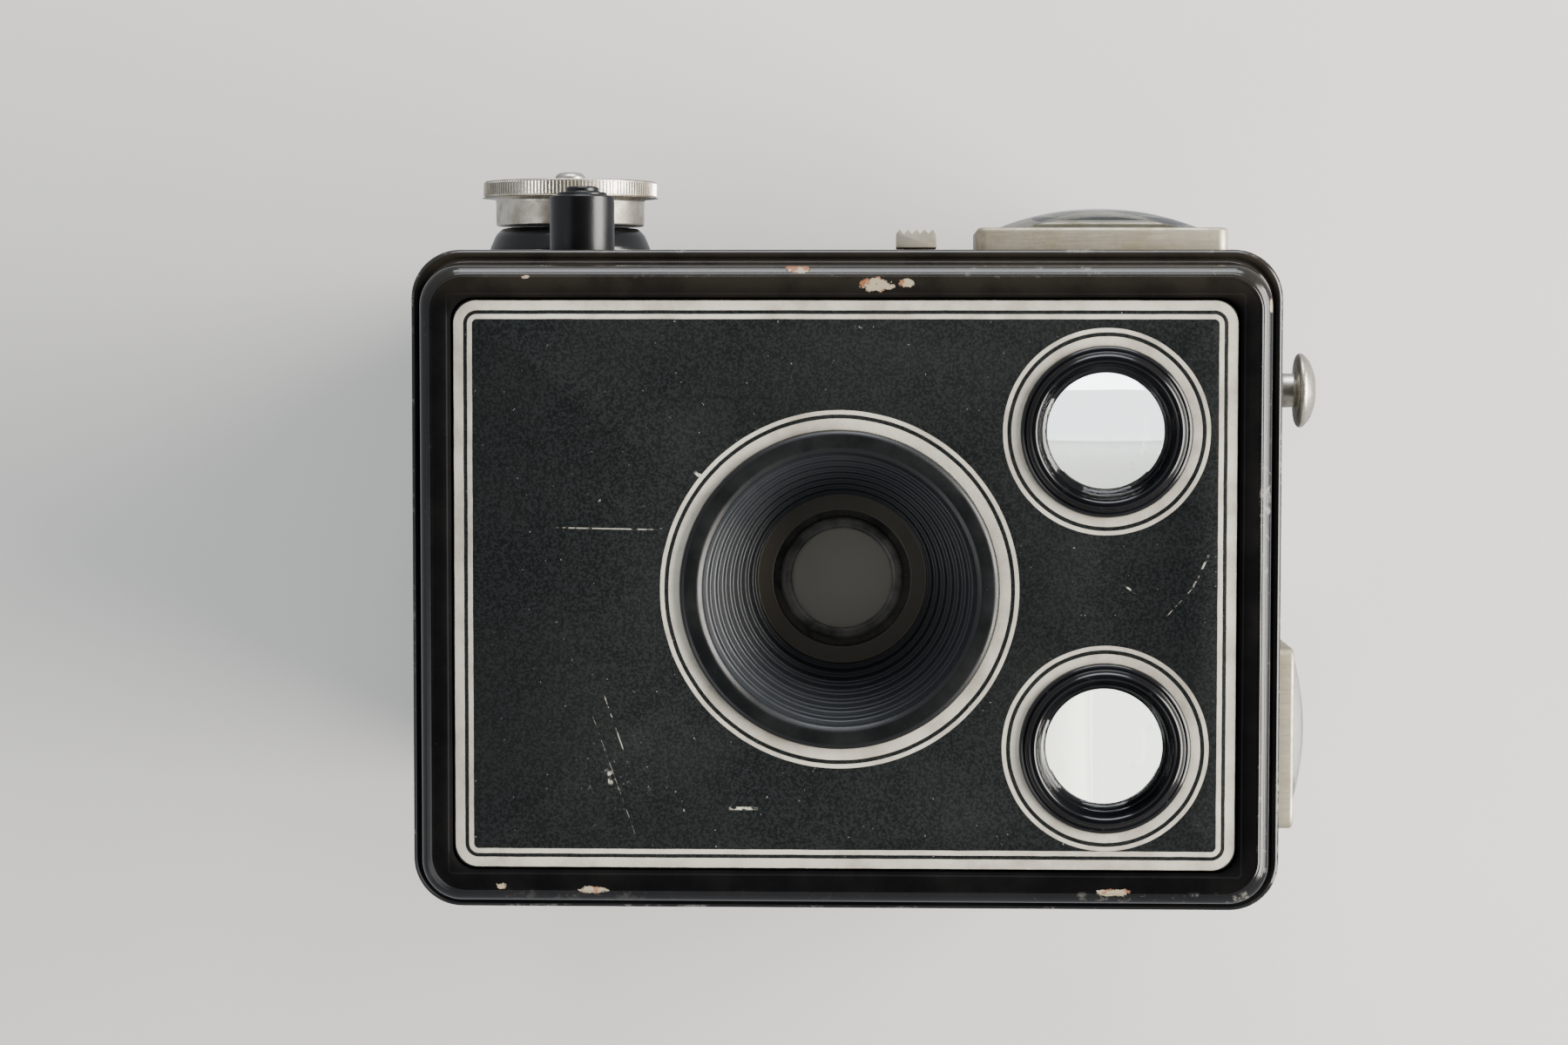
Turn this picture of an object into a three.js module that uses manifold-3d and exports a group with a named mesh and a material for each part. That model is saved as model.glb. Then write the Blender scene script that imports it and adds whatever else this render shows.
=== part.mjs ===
// Box camera for 6 x 9 cm pictures on 620 roll film.
//
// Millimetres, +Z up. The camera stands on its bottom face: Z = 0 is that face, X = 0 the middle
// between the side walls and Y = 0 half way along the body. The lens looks along -Y, and the
// winding knob and the release post are on the -X side.
//
// Inside this file a place along the body is its depth behind the crest of the front frame, so
// depth 0 is the front and depth BODY_DEPTH is the back. One group at the end moves it all by
// half the depth.
import * as THREE from 'three';
import { mergeVertices } from 'three/addons/utils/BufferGeometryUtils.js';
import Module from 'manifold-3d';

const wasm = await Module();
wasm.setup();

// ---------------------------------------------------------------------------
// Driving dimensions
// ---------------------------------------------------------------------------

// Body
const BODY_WIDTH = 81;            // X, over the covering and the front bead
const BODY_HEIGHT = 106.5;        // Z
const BODY_DEPTH = 124;           // Y, front crest to the back's covering
const CORNER_RADIUS = 6;
const COVER = 0.5;                // leatherette
const SHEET = 0.8;                // body steel
const CLEAR = 0.3;                // between pieces that pass each other
const SEAT = 0.05;                // between pieces that are fixed face to face
const RUNNING = 0.08;             // radial, between a shaft and its hole

// Front frame and face plate
const FLANGE_FRONT = 8.5;         // depth of the outer bead's front face
const FLANGE_BACK = 9.7;
const FLANGE_ROUND = 0.35;
const BAND_INSET = 2.05;          // outline to the raised band's side wall
const BAND_WIDTH = 3.95;
const BAND_ROUND = 1.5;
const PLATE_INSET = 6.2;          // outline to the face plate's edge
const PLATE_FRONT = 0.6;
const PLATE_SHEET = 0.5;
const FRAME_WALL = 1;

// Lens. The lens and both finders sit a little to the +X side of the body's middle.
const FACE_SHIFT = 0.5;
const LENS_Z = 52.7;
const CONE_RIM_RADIUS = 19.2;
const CONE_MOUTH_RADIUS = 16.35;
const CONE_THROAT_RADIUS = 10.65;
const CONE_RIM_PROUD = 1;         // rim above the face plate
const CONE_STEPS = 7;
const CONE_DEPTH = 18;
const CONE_WALL = 1.5;
const THROAT_LENGTH = 2;
const CELL_RADIUS = 7.7;
const CELL_LIP_RADIUS = 6.3;
const CELL_LENGTH = 3.4;
const LENS_FRONT_CURVE = 22;
const LENS_BACK_CURVE = 35;
const LENS_THICKNESS = 2;

// Shutter
const BLADE_SHEET = 0.5;
const BLADE_RADIUS = 21;
const BLADE_PIVOT_DROP = 13.5;    // below the lens axis
const BLADE_PIVOT_RADIUS = 1;
const LEVER_PIVOT_RADIUS = 1.2;
const LEVER_HALF_WIDTH = 3.2;
const BLADE_HOLE_RADIUS = 4.2;
const BLADE_SWING = 100;          // degrees, for a full press
const APERTURE_RADIUS = 3.6;
const SHUTTER_PLATE_GAP = 2.2;    // to the shell at each side
const SHUTTER_PLATE_TOP = 66;
const SHUTTER_PLATE_BOTTOM = 6;
const LEVER_PIVOT_X = -26;
const LEVER_ARM = 13.5;           // pivot to where the post pushes

// Release post
const POST_RADIUS = 4;
const POST_SETBACK = 1.4;         // front frame's flange to the post's side
const POST_Z = 20.5;
const POST_STAND = 6.8;
const POST_STEP_RADII = [3.05, 2.1];
const POST_STEP_HEIGHTS = [0.4, 0.75];
const POST_REACH = 3.6;           // inside the wall, at rest
const GUIDE_LENGTH = 1.6;

// Instant/time slider
const SLIDER_Z = 61.9;
const SLIDER_LENGTH = 5;          // along Z
const SLIDER_SETBACK = 1.8;       // front frame's flange to the slider's edge
const SLIDER_BREADTH = 10;        // along Y
const SLIDER_STAND = 2.55;
const SLIDER_TOOTH = 0.56;
const SLIDER_TEETH = 5;
const SLIDER_TRAVEL = 5.5;
const SLIDER_NECK = 3;            // along Z
const SLIDER_NECK_BREADTH = 2.6;  // along Y

// Finders
const FINDER_HALF_SPACING = 19.05;
const FINDER_DROP = 21.85;        // below the top face
const BEZEL_RADIUS = 10.25;
const BEZEL_CREST_RADIUS = 8.75;
const BEZEL_GLASS_RADIUS = 7;
const BEZEL_PROUD = 1.5;          // bead's crest above the face plate
const OBJECTIVE_RADIUS = 7.8;
const OBJECTIVE_CURVE = 12;
const WINDOW_LENGTH = 30.7;
const WINDOW_BREADTH = 22.4;
const SIDE_WINDOW_STAND = 2.75;
const TOP_WINDOW_STAND = 2;
const WINDOW_DOME = 2.75;         // glass above its frame
const WINDOW_RIM = 1.85;
const WINDOW_SETBACK = 1.3;       // front frame's flange to both window frames
const MIRROR_THICKNESS = 1.2;
const BOX_SHEET = 0.6;

// Winding knob
const KEY_Z = 16;
const KEY_DEPTH = 47;
const BOSS_RADIUS = 10.7;
const BOSS_STAND = 3.7;
const KNOB_RADIUS = 9.85;
const KNOB_RIM_RADIUS = 11.9;
const KNOB_LENGTH = 3.7;
const KNOB_RIM_THICKNESS = 2.3;
const KNOB_TEETH = 64;
const KNURL_DEPTH = 0.35;
const CAP_RADIUS = 2;
const CAP_STAND = 1.2;
const KEY_SHAFT_RADIUS = 2;
const KEY_TRAVEL = 8;
const BLADE_WIDTH = 3.4;
const KEY_BLADE_SHEET = 0.9;

// Strap studs
const STUD_X = -23.2;
const STUD_FRONT_DEPTH = 20;
const STUD_REAR_SETBACK = 11.7;   // the body's rear edge to the rear stud
const STUD_SHANK_RADIUS = 1.2;    // riveted through the covering and the shell
const STUD_STEM_RADIUS = 2.1;
const STUD_CAP_RADIUS = 4.7;
const STUD_RIM_HEIGHT = 3.8;
const STUD_CROWN_HEIGHT = 5.3;

// Film carrier and spools
const SPOOL_LENGTH = 65.4;
const SPOOL_FLANGE_RADIUS = 12.2;
const SPOOL_CORE_RADIUS = 3.2;
const SPOOL_FLANGE_SHEET = 0.7;
const SPOOL_BORE_RADIUS = 1.6;
const SPOOL_BORE_LENGTH = 7;
const SUPPLY_DROP = 15.1;         // below the top face
const SUPPLY_DEPTH = 56;
const SIDE_PLATE_END = 5.65;      // side plates' ends, from the bottom and top faces
const GATE_WIDTH = 57;
const GATE_HEIGHT = 82;
const FILM_GAP = 6.4;             // film to the back's outer face
const CARRIER_SHEET = 0.8;
const CARRIER_FRONT = 33;
const CARRIER_MOUTH_WIDTH = 20;
const CARRIER_MOUTH_HEIGHT = 22;
const ROLLER_RADIUS = 2.6;
const ROLLER_PIVOT_RADIUS = 1.2;
const ROLLER_MARGIN = 1;          // gate opening to the roller's axis

// Rear
const BACK_RIM = 12.3;            // the body's rear edge to the back's outer face
const COLLAR_START = 20;          // collar's front edge, from the back's outer face
const COLLAR_END = 5.6;           // its rear edge, from the same
const DOOR_SHEET = 0.8;
const DOOR_RIM_BOTTOM = 4.5;
const HINGE_Z = 2.2;
const HINGE_RADIUS = 2;
const HINGE_PIN_RADIUS = 0.8;
const HINGE_HALF_WIDTH = 27;
const DOOR_KNUCKLE_HALF = 15;
const RED_WINDOW_X = 17;
const RED_WINDOW_RADIUS = 5;
const RED_RING_RADIUS = 7.2;
const CATCH_HALF_WIDTH = 6;
const CATCH_SETBACK = 10.7;       // the body's rear edge to the catch's pivot
const CATCH_PIVOT_HEIGHT = 2.2;   // above the top face
const CATCH_PIN_RADIUS = 0.8;
const CATCH_SHEET = 0.9;
const CATCH_TAB = 4.5;            // how far the finger tab runs past the hook

// ---------------------------------------------------------------------------
// Sizes that follow from those
// ---------------------------------------------------------------------------

const WALL_X = BODY_WIDTH / 2;
const CENTRE_Z = BODY_HEIGHT / 2;
const LINED = COVER + SHEET;
const INNER_X = WALL_X - LINED;
const PLATE_BACK = PLATE_FRONT + PLATE_SHEET;
const RECESS_INSET = BAND_INSET + BAND_WIDTH;
const FRAME_FLOOR = PLATE_BACK + SEAT;
const FRAME_FLOOR_BACK = FRAME_FLOOR + FRAME_WALL;
const SHELL_FRONT = FLANGE_BACK + SEAT;
const SHELL_BACK = BODY_DEPTH - BACK_RIM;
const COLLAR_FRONT = BODY_DEPTH - COLLAR_START;
const COLLAR_BACK = BODY_DEPTH - COLLAR_END;
const FILM_PLANE = BODY_DEPTH - FILM_GAP;
const HINGE_DEPTH = BODY_DEPTH - HINGE_RADIUS;
const CATCH_PIVOT_DEPTH = SHELL_BACK - CATCH_SETBACK;
const STUD_DEPTHS = [STUD_FRONT_DEPTH, SHELL_BACK - STUD_REAR_SETBACK];
const SUPPLY_Z = BODY_HEIGHT - SUPPLY_DROP;
const FINDER_Z = BODY_HEIGHT - FINDER_DROP;
const SHUTTER_PLATE_HALF_WIDTH = INNER_X - SHUTTER_PLATE_GAP;
const POST_DEPTH = FLANGE_BACK + POST_SETBACK + POST_RADIUS;
const SLIDER_DEPTH = FLANGE_BACK + SLIDER_SETBACK + SLIDER_BREADTH / 2;
const WINDOW_FRONT = FLANGE_BACK + WINDOW_SETBACK;
const CONE_NECK_RADIUS = CONE_MOUTH_RADIUS + CONE_WALL;
const CONE_END = CONE_DEPTH + THROAT_LENGTH;
const CELL_FRONT = CONE_END + 0.4;
const CELL_BACK = CELL_FRONT + CELL_LENGTH;
const BLADE_FRONT = CELL_BACK + 1;
const BLADE_BACK = BLADE_FRONT + BLADE_SHEET;
const SHUTTER_PLATE_FRONT = BLADE_BACK + 0.8;
const SHUTTER_PLATE_BACK = SHUTTER_PLATE_FRONT + SHEET;
const BLADE_PIVOT_Z = LENS_Z - BLADE_PIVOT_DROP;
const LEVER_Z = POST_Z + LEVER_ARM;
const COLLAR_OUTER_INSET = LINED + SEAT;
const COLLAR_INNER_INSET = COLLAR_OUTER_INSET + SHEET;
const SPOOL_END = SPOOL_LENGTH / 2;
const SIDE_PLATE_INNER = SPOOL_END + 1.6;
const SIDE_PLATE_OUTER = SIDE_PLATE_INNER + CARRIER_SHEET;
const GATE_FRONT = FILM_PLANE - CARRIER_SHEET;
const ROLLER_DEPTH = GATE_FRONT - ROLLER_RADIUS - CLEAR;
const ROLLER_ZS = [-1, 1].map((s) => CENTRE_Z + s * (GATE_HEIGHT / 2 + ROLLER_MARGIN + ROLLER_RADIUS));
const DOOR_PLATE_BACK = BODY_DEPTH - COVER;
const DOOR_PLATE_FRONT = DOOR_PLATE_BACK - DOOR_SHEET;

// ---------------------------------------------------------------------------
// Helpers
// ---------------------------------------------------------------------------

const ROUND = 32;                 // sides of a large round
const MIDDLE = 24;                // sides of one between them
const SMALL = 16;                 // sides of a small one

// A three.js geometry as a solid, for cutting and joining.
function toSolid(geometry) {
  const bare = geometry.clone();
  bare.deleteAttribute('normal');
  bare.deleteAttribute('uv');
  const merged = mergeVertices(bare, 1e-4);
  return new wasm.Manifold(new wasm.Mesh({
    numProp: 3,
    vertProperties: new Float32Array(merged.attributes.position.array),
    triVerts: new Uint32Array(merged.index.array),
  }));
}

function toGeometry(solid) {
  const mesh = solid.getMesh();
  const geometry = new THREE.BufferGeometry();
  geometry.setAttribute('position', new THREE.BufferAttribute(mesh.vertProperties, 3));
  geometry.setIndex(new THREE.BufferAttribute(mesh.triVerts, 1));
  return geometry;
}

function cut(base, ...tools) {
  return toGeometry(tools.reduce((solid, tool) => solid.subtract(toSolid(tool)), toSolid(base)));
}

function join(base, ...others) {
  return toGeometry(others.reduce((solid, other) => solid.add(toSolid(other)), toSolid(base)));
}

function common(a, b) {
  return toGeometry(toSolid(a).intersect(toSolid(b)));
}

// A block between two corners.
function block(x0, x1, y0, y1, z0, z1) {
  return new THREE.BoxGeometry(x1 - x0, y1 - y0, z1 - z0)
    .translate((x0 + x1) / 2, (y0 + y1) / 2, (z0 + z1) / 2);
}

// A round bar from start to end along one axis, centred on the two other coordinates.
function barX(radius, x0, x1, y, z, sides = SMALL) {
  return new THREE.CylinderGeometry(radius, radius, x1 - x0, sides)
    .rotateZ(Math.PI / 2).translate((x0 + x1) / 2, y, z);
}

function barY(radius, y0, y1, x, z, sides = SMALL) {
  return new THREE.CylinderGeometry(radius, radius, y1 - y0, sides)
    .translate(x, (y0 + y1) / 2, z);
}

// A turned piece. Its profile is a closed line of [radius, height] points, in either order.
function turned(profile, sides = ROUND) {
  const points = profile.map(([r, h]) => new THREE.Vector2(r, h));
  if (THREE.ShapeUtils.area(points) < 0) {
    points.reverse();
  }
  return new THREE.LatheGeometry([...points, points[0]], sides);
}

// Turned pieces stand along +Y, the depth direction. These turn them to -X and to +Z.
const towardsMinusX = (geometry) => geometry.rotateZ(Math.PI / 2);
const towardsTop = (geometry) => geometry.rotateX(Math.PI / 2);

// Rounded rectangle, centred, as a shape whose x is X and whose y is Z.
function roundedRect(width, height, radius) {
  const x = width / 2;
  const y = height / 2;
  const shape = new THREE.Shape();
  shape.moveTo(-x + radius, -y);
  shape.lineTo(x - radius, -y);
  shape.absarc(x - radius, -y + radius, radius, -Math.PI / 2, 0);
  shape.lineTo(x, y - radius);
  shape.absarc(x - radius, y - radius, radius, 0, Math.PI / 2);
  shape.lineTo(-x + radius, y);
  shape.absarc(-x + radius, y - radius, radius, Math.PI / 2, Math.PI);
  shape.lineTo(-x, -y + radius);
  shape.absarc(-x + radius, -y + radius, radius, Math.PI, Math.PI * 1.5);
  return shape;
}

// A prism of a shape drawn in X and Z, from one depth to another. Its front edge can be rounded.
function prism(shape, d0, d1, round = 0, steps = 4, curve = 3) {
  const geometry = new THREE.ExtrudeGeometry(shape, {
    depth: d1 - d0 - round,
    bevelEnabled: round > 0,
    bevelThickness: round,
    bevelSize: round,
    bevelOffset: -round,
    bevelSegments: steps,
    curveSegments: curve,
  });
  geometry.rotateX(Math.PI / 2);
  if (round === 0) {
    return geometry.translate(0, d1, 0);
  }
  // The bevel rounds both ends, so the rear one is cut off square.
  geometry.translate(0, d1, 0);
  return cut(geometry, block(-500, 500, d1, d1 + round + 1, -500, 500));
}

// The body's outline drawn in by an inset.
function outline(inset) {
  return roundedRect(
    BODY_WIDTH - 2 * inset,
    BODY_HEIGHT - 2 * inset,
    Math.max(CORNER_RADIUS - inset, 0.6),
  );
}

function bodyPrism(inset, d0, d1, round = 0, steps = 4) {
  return prism(outline(inset), d0, d1, round, steps).translate(0, 0, CENTRE_Z);
}

// A polygon of [a, b] points extruded along the third axis, drawn in X and Y and rising along Z.
function plateZ(points, z0, z1) {
  const shape = new THREE.Shape(points.map(([x, y]) => new THREE.Vector2(x, y)));
  return new THREE.ExtrudeGeometry(shape, { depth: z1 - z0, bevelEnabled: false })
    .translate(0, 0, z0);
}

// The same, drawn in Y and Z and running along X.
function plateX(points, x0, x1) {
  const shape = new THREE.Shape(points.map(([y, z]) => new THREE.Vector2(y, z)));
  return new THREE.ExtrudeGeometry(shape, { depth: x1 - x0, bevelEnabled: false })
    .rotateX(Math.PI / 2).rotateZ(Math.PI / 2).translate(x0, 0, 0);
}

// The same, drawn in X and Z, between two depths.
function plateY(points, d0, d1) {
  const shape = new THREE.Shape(points.map(([x, z]) => new THREE.Vector2(x, z)));
  return prism(shape, d0, d1);
}

// Points of an arc of a circle, from one angle to another in degrees.
function arc(cx, cy, radius, from, to, count) {
  return Array.from({ length: count + 1 }, (_, i) => {
    const a = THREE.MathUtils.degToRad(from + ((to - from) * i) / count);
    return [cx + radius * Math.cos(a), cy + radius * Math.sin(a)];
  });
}

const ENAMEL = { color: 0x0a0a0b, roughness: 0.22, metalness: 0 };
const MATT_BLACK = { color: 0x131416, roughness: 0.62, metalness: 0 };
const CHARCOAL = { color: 0x232726, roughness: 0.55, metalness: 0 };
const LEATHERETTE = { color: 0x121213, roughness: 0.6, metalness: 0 };
const NICKEL = { color: 0xb9b4a8, roughness: 0.34, metalness: 1 };
const STEEL = { color: 0x8e9092, roughness: 0.42, metalness: 1 };
const BRASS = { color: 0xa88a4d, roughness: 0.4, metalness: 1 };
const GLASS = { color: 0xdfe8e6, roughness: 0.05, metalness: 0 };
const RED_GLASS = { color: 0x7a0d10, roughness: 0.1, metalness: 0 };
const MIRROR = { color: 0xdadedd, roughness: 0.04, metalness: 1 };

const camera = new THREE.Group();
camera.position.y = -BODY_DEPTH / 2;

function add(name, geometry, finish, parent = camera) {
  const mesh = new THREE.Mesh(geometry, new THREE.MeshStandardMaterial(finish));
  mesh.name = name;
  parent.add(mesh);
  return mesh;
}

// ---------------------------------------------------------------------------
// Finders: both are the same set of pieces, turned to look out of the side or out of the top
// ---------------------------------------------------------------------------

// Each finder is built about its objective's axis: local X points to its window, local Y is the
// depth and local Z runs across. reach is the distance from the axis to the covered wall.
function finder({ name, reach, stand, along, across, turn, x, z }) {
  const group = new THREE.Group();
  group.rotation.y = turn;
  group.position.set(x, 0, z);
  camera.add(group);

  const crest = PLATE_FRONT - BEZEL_PROUD;
  const seat = PLATE_FRONT - SEAT;
  const neck = BEZEL_RADIUS - 1;
  const glassSeat = PLATE_FRONT + 1.9;
  const boxFront = FLANGE_BACK + CLEAR;
  const bezel = turned([
    [neck, seat],
    [BEZEL_RADIUS, seat],
    [BEZEL_RADIUS, seat - 0.55],
    [BEZEL_RADIUS - 0.35, seat - 0.75],
    [BEZEL_CREST_RADIUS + 0.75, seat - 0.75],
    [BEZEL_CREST_RADIUS + 0.5, crest + 0.2],
    [BEZEL_CREST_RADIUS, crest],
    [BEZEL_CREST_RADIUS - 0.5, crest + 0.2],
    [BEZEL_CREST_RADIUS - 0.75, crest + 0.75],
    [BEZEL_GLASS_RADIUS, glassSeat - 0.3],
    [BEZEL_GLASS_RADIUS, glassSeat + 0.2],
    [OBJECTIVE_RADIUS + 0.1, glassSeat + 0.2],
    [OBJECTIVE_RADIUS + 0.1, boxFront - SEAT],
    [neck, boxFront - SEAT],
  ]);
  add(`${name}_finder_bezel`, bezel, ENAMEL, group);

  // Plano-convex objective behind the bezel's lip.
  const sagAt = (r) => OBJECTIVE_CURVE - Math.sqrt(OBJECTIVE_CURVE ** 2 - r ** 2);
  const curveRadii = [0, 0.2, 0.4, 0.58, 0.74, 0.88].map((f) => f * OBJECTIVE_RADIUS);
  const glassFront = glassSeat + 0.2 + SEAT;
  const lipSag = sagAt(BEZEL_GLASS_RADIUS);
  const objective = turned([
    ...curveRadii.filter((r) => r < BEZEL_GLASS_RADIUS - 0.1)
      .map((r) => [r, glassFront - lipSag + sagAt(r)]),
    [BEZEL_GLASS_RADIUS - 0.1, glassFront],
    [OBJECTIVE_RADIUS, glassFront],
    [OBJECTIVE_RADIUS, glassFront + 2],
    [0, glassFront + 2],
  ]);
  add(`${name}_finder_objective`, objective, GLASS, group);

  // Window frame on the covering, with a domed lens standing in it.
  const windowMid = WINDOW_FRONT + along / 2;
  const frameFoot = reach + SEAT;
  const frameTop = reach + stand;
  const lipOpening = WINDOW_RIM + 1.3;
  const halfAlong = along / 2;
  const halfAcross = across / 2;
  const ring = (inset, x0, x1) => block(
    x0,
    x1,
    windowMid - halfAlong + inset,
    windowMid + halfAlong - inset,
    -halfAcross + inset,
    halfAcross - inset,
  );
  const outer = prism(roundedRect(along, across, 1.2), -(stand - SEAT), 0, 0.6, 3)
    .rotateZ(Math.PI / 2).translate(frameFoot, windowMid, 0);
  add(
    `${name}_window_frame`,
    cut(outer, ring(WINDOW_RIM, frameFoot + 0.6, frameTop + 1), ring(lipOpening, reach - 1, frameTop)),
    NICKEL,
    group,
  );
  const glassInset = WINDOW_RIM + 0.15;
  const glassBottom = frameFoot + 0.6 + SEAT;
  const halfLong = Math.max(along, across) / 2 - glassInset;
  const domeCurve = (halfLong ** 2 + WINDOW_DOME ** 2) / (2 * WINDOW_DOME);
  const slabTop = frameTop - 0.1;
  const domeAngle = THREE.MathUtils.radToDeg(Math.asin(Math.min((halfLong * 1.3) / domeCurve, 1)));
  const capProfile = arc(0, slabTop + WINDOW_DOME - domeCurve, domeCurve, 90 - domeAngle, 90, 7);
  const edge = capProfile[0];
  const cap = turned([[0, glassBottom - 1], [edge[0], glassBottom - 1], ...capProfile], ROUND)
    .rotateZ(-Math.PI / 2).translate(0, windowMid, 0);
  add(
    `${name}_window_lens`,
    common(cap, ring(glassInset, glassBottom, frameTop + WINDOW_DOME + 1)),
    GLASS,
    group,
  );

  // Folded sheet box with the mirror lying on its sloping wall, at 45 degrees.
  const boxOuter = reach - LINED - 0.1;
  const halfBox = halfAcross - 0.3;
  const boxBack = WINDOW_FRONT + along + CLEAR;
  const mirrorDepth = windowMid;
  const slope = (u) => mirrorDepth + u;
  const innerU = boxFront + 1.5 - mirrorDepth;
  const wallOuter = [
    [boxOuter, boxFront],
    [boxOuter, boxBack],
    [boxBack - mirrorDepth, boxBack],
    [innerU, slope(innerU)],
    [innerU, boxFront],
  ];
  const t = BOX_SHEET;
  const mitre = Math.SQRT2 - 1;
  const wallInner = [
    [boxOuter + 1, boxFront + t],
    [boxOuter + 1, boxBack - t],
    [boxBack - mirrorDepth - t * mitre, boxBack - t],
    [innerU + t, slope(innerU) - t * mitre],
    [innerU + t, boxFront + t],
  ];
  const finderBox = cut(
    plateZ(wallOuter, -halfBox, halfBox),
    plateZ(wallInner, -halfBox + t, halfBox - t),
    barY(OBJECTIVE_RADIUS, boxFront - 1, boxFront + t + 0.05, 0, 0, ROUND),
  );
  add(`${name}_finder_box`, finderBox, MATT_BLACK, group);
  const faceShift = t * Math.SQRT2 + SEAT * 2;
  const mirrorEnd = boxBack - mirrorDepth - 2.2;
  const mirrorStart = innerU + 2.6;
  const mirrorPoints = [
    [mirrorStart, slope(mirrorStart) - faceShift],
    [mirrorStart, slope(mirrorStart) - faceShift - MIRROR_THICKNESS],
    [mirrorEnd, slope(mirrorEnd) - faceShift - MIRROR_THICKNESS],
    [mirrorEnd, slope(mirrorEnd) - faceShift],
  ];
  add(
    `${name}_finder_mirror`,
    plateZ(mirrorPoints.reverse(), -halfBox + t + SEAT, halfBox - t - SEAT),
    MIRROR,
    group,
  );
  return ring(lipOpening, reach - LINED - 1, reach + 1)
    .rotateY(turn).translate(x, 0, z);
}

const sideFinderX = FACE_SHIFT - FINDER_HALF_SPACING;
const topFinderX = FACE_SHIFT + FINDER_HALF_SPACING;
const sideWindowHole = finder({
  name: 'side',
  reach: WALL_X + sideFinderX,
  stand: SIDE_WINDOW_STAND,
  along: WINDOW_BREADTH,
  across: WINDOW_LENGTH,
  turn: Math.PI,
  x: sideFinderX,
  z: FINDER_Z,
});
const topWindowHole = finder({
  name: 'top',
  reach: BODY_HEIGHT - FINDER_Z,
  stand: TOP_WINDOW_STAND,
  along: WINDOW_LENGTH,
  across: WINDOW_BREADTH,
  turn: -Math.PI / 2,
  x: topFinderX,
  z: FINDER_Z,
});

// ---------------------------------------------------------------------------
// Body
// ---------------------------------------------------------------------------

const coneHole = barY(CONE_NECK_RADIUS + 0.15, -2, FLANGE_BACK + 1, FACE_SHIFT, LENS_Z, ROUND);
const finderHoles = [sideFinderX, topFinderX].map(
  (x) => barY(BEZEL_RADIUS - 0.85, -2, FLANGE_BACK + 1, x, FINDER_Z, ROUND),
);

const frontFrame = cut(
  join(
    bodyPrism(0, FLANGE_FRONT, FLANGE_BACK, FLANGE_ROUND, 2),
    bodyPrism(BAND_INSET, 0, FLANGE_BACK, BAND_ROUND, 4),
  ),
  bodyPrism(RECESS_INSET, -1, FRAME_FLOOR),
  bodyPrism(BAND_INSET + FRAME_WALL, FRAME_FLOOR_BACK, FLANGE_BACK + 1),
  coneHole,
  ...finderHoles,
);
add('front_frame', frontFrame, ENAMEL);
add(
  'face_plate',
  cut(bodyPrism(PLATE_INSET, PLATE_FRONT, PLATE_BACK), coneHole, ...finderHoles),
  CHARCOAL,
);

// Openings that pass through both the covering and the shell.
const postHole = barX(POST_RADIUS + RUNNING * 2, -WALL_X - 1, -INNER_X + 1, POST_DEPTH, POST_Z);
const keyHole = barX(KEY_SHAFT_RADIUS + 1, -WALL_X - 1, -INNER_X + 1, KEY_DEPTH, KEY_Z);
const sliderSlot = block(
  -WALL_X - 1,
  -INNER_X + 1,
  SLIDER_DEPTH - SLIDER_NECK_BREADTH / 2 - CLEAR,
  SLIDER_DEPTH + SLIDER_NECK_BREADTH / 2 + CLEAR,
  SLIDER_Z - SLIDER_TRAVEL - SLIDER_NECK / 2 - CLEAR,
  SLIDER_Z + SLIDER_NECK / 2 + CLEAR,
);
const wallOpenings = [sideWindowHole, topWindowHole, postHole, keyHole, sliderSlot];
const studHole = STUD_SHANK_RADIUS + SEAT * 2;
const studHoles = STUD_DEPTHS.map((d) => new THREE.CylinderGeometry(studHole, studHole, 6, SMALL)
  .rotateX(Math.PI / 2).translate(STUD_X, d, BODY_HEIGHT));

add(
  'body_covering',
  cut(
    bodyPrism(0, SHELL_FRONT, SHELL_BACK),
    bodyPrism(COVER, SHELL_FRONT - 1, SHELL_BACK + 1),
    ...wallOpenings,
    ...studHoles,
  ),
  LEATHERETTE,
);
add(
  'body_shell',
  cut(
    bodyPrism(COVER + 0.02, SHELL_FRONT, SHELL_BACK),
    bodyPrism(LINED, SHELL_FRONT - 1, SHELL_BACK + 1),
    ...wallOpenings,
    ...studHoles,
  ),
  MATT_BLACK,
);
add(
  'rear_collar',
  cut(
    bodyPrism(COLLAR_OUTER_INSET, COLLAR_FRONT, COLLAR_BACK),
    bodyPrism(COLLAR_INNER_INSET, COLLAR_FRONT - 1, COLLAR_BACK + 1),
  ),
  MATT_BLACK,
);

// ---------------------------------------------------------------------------
// Lens cone, lens and shutter
// ---------------------------------------------------------------------------

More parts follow.
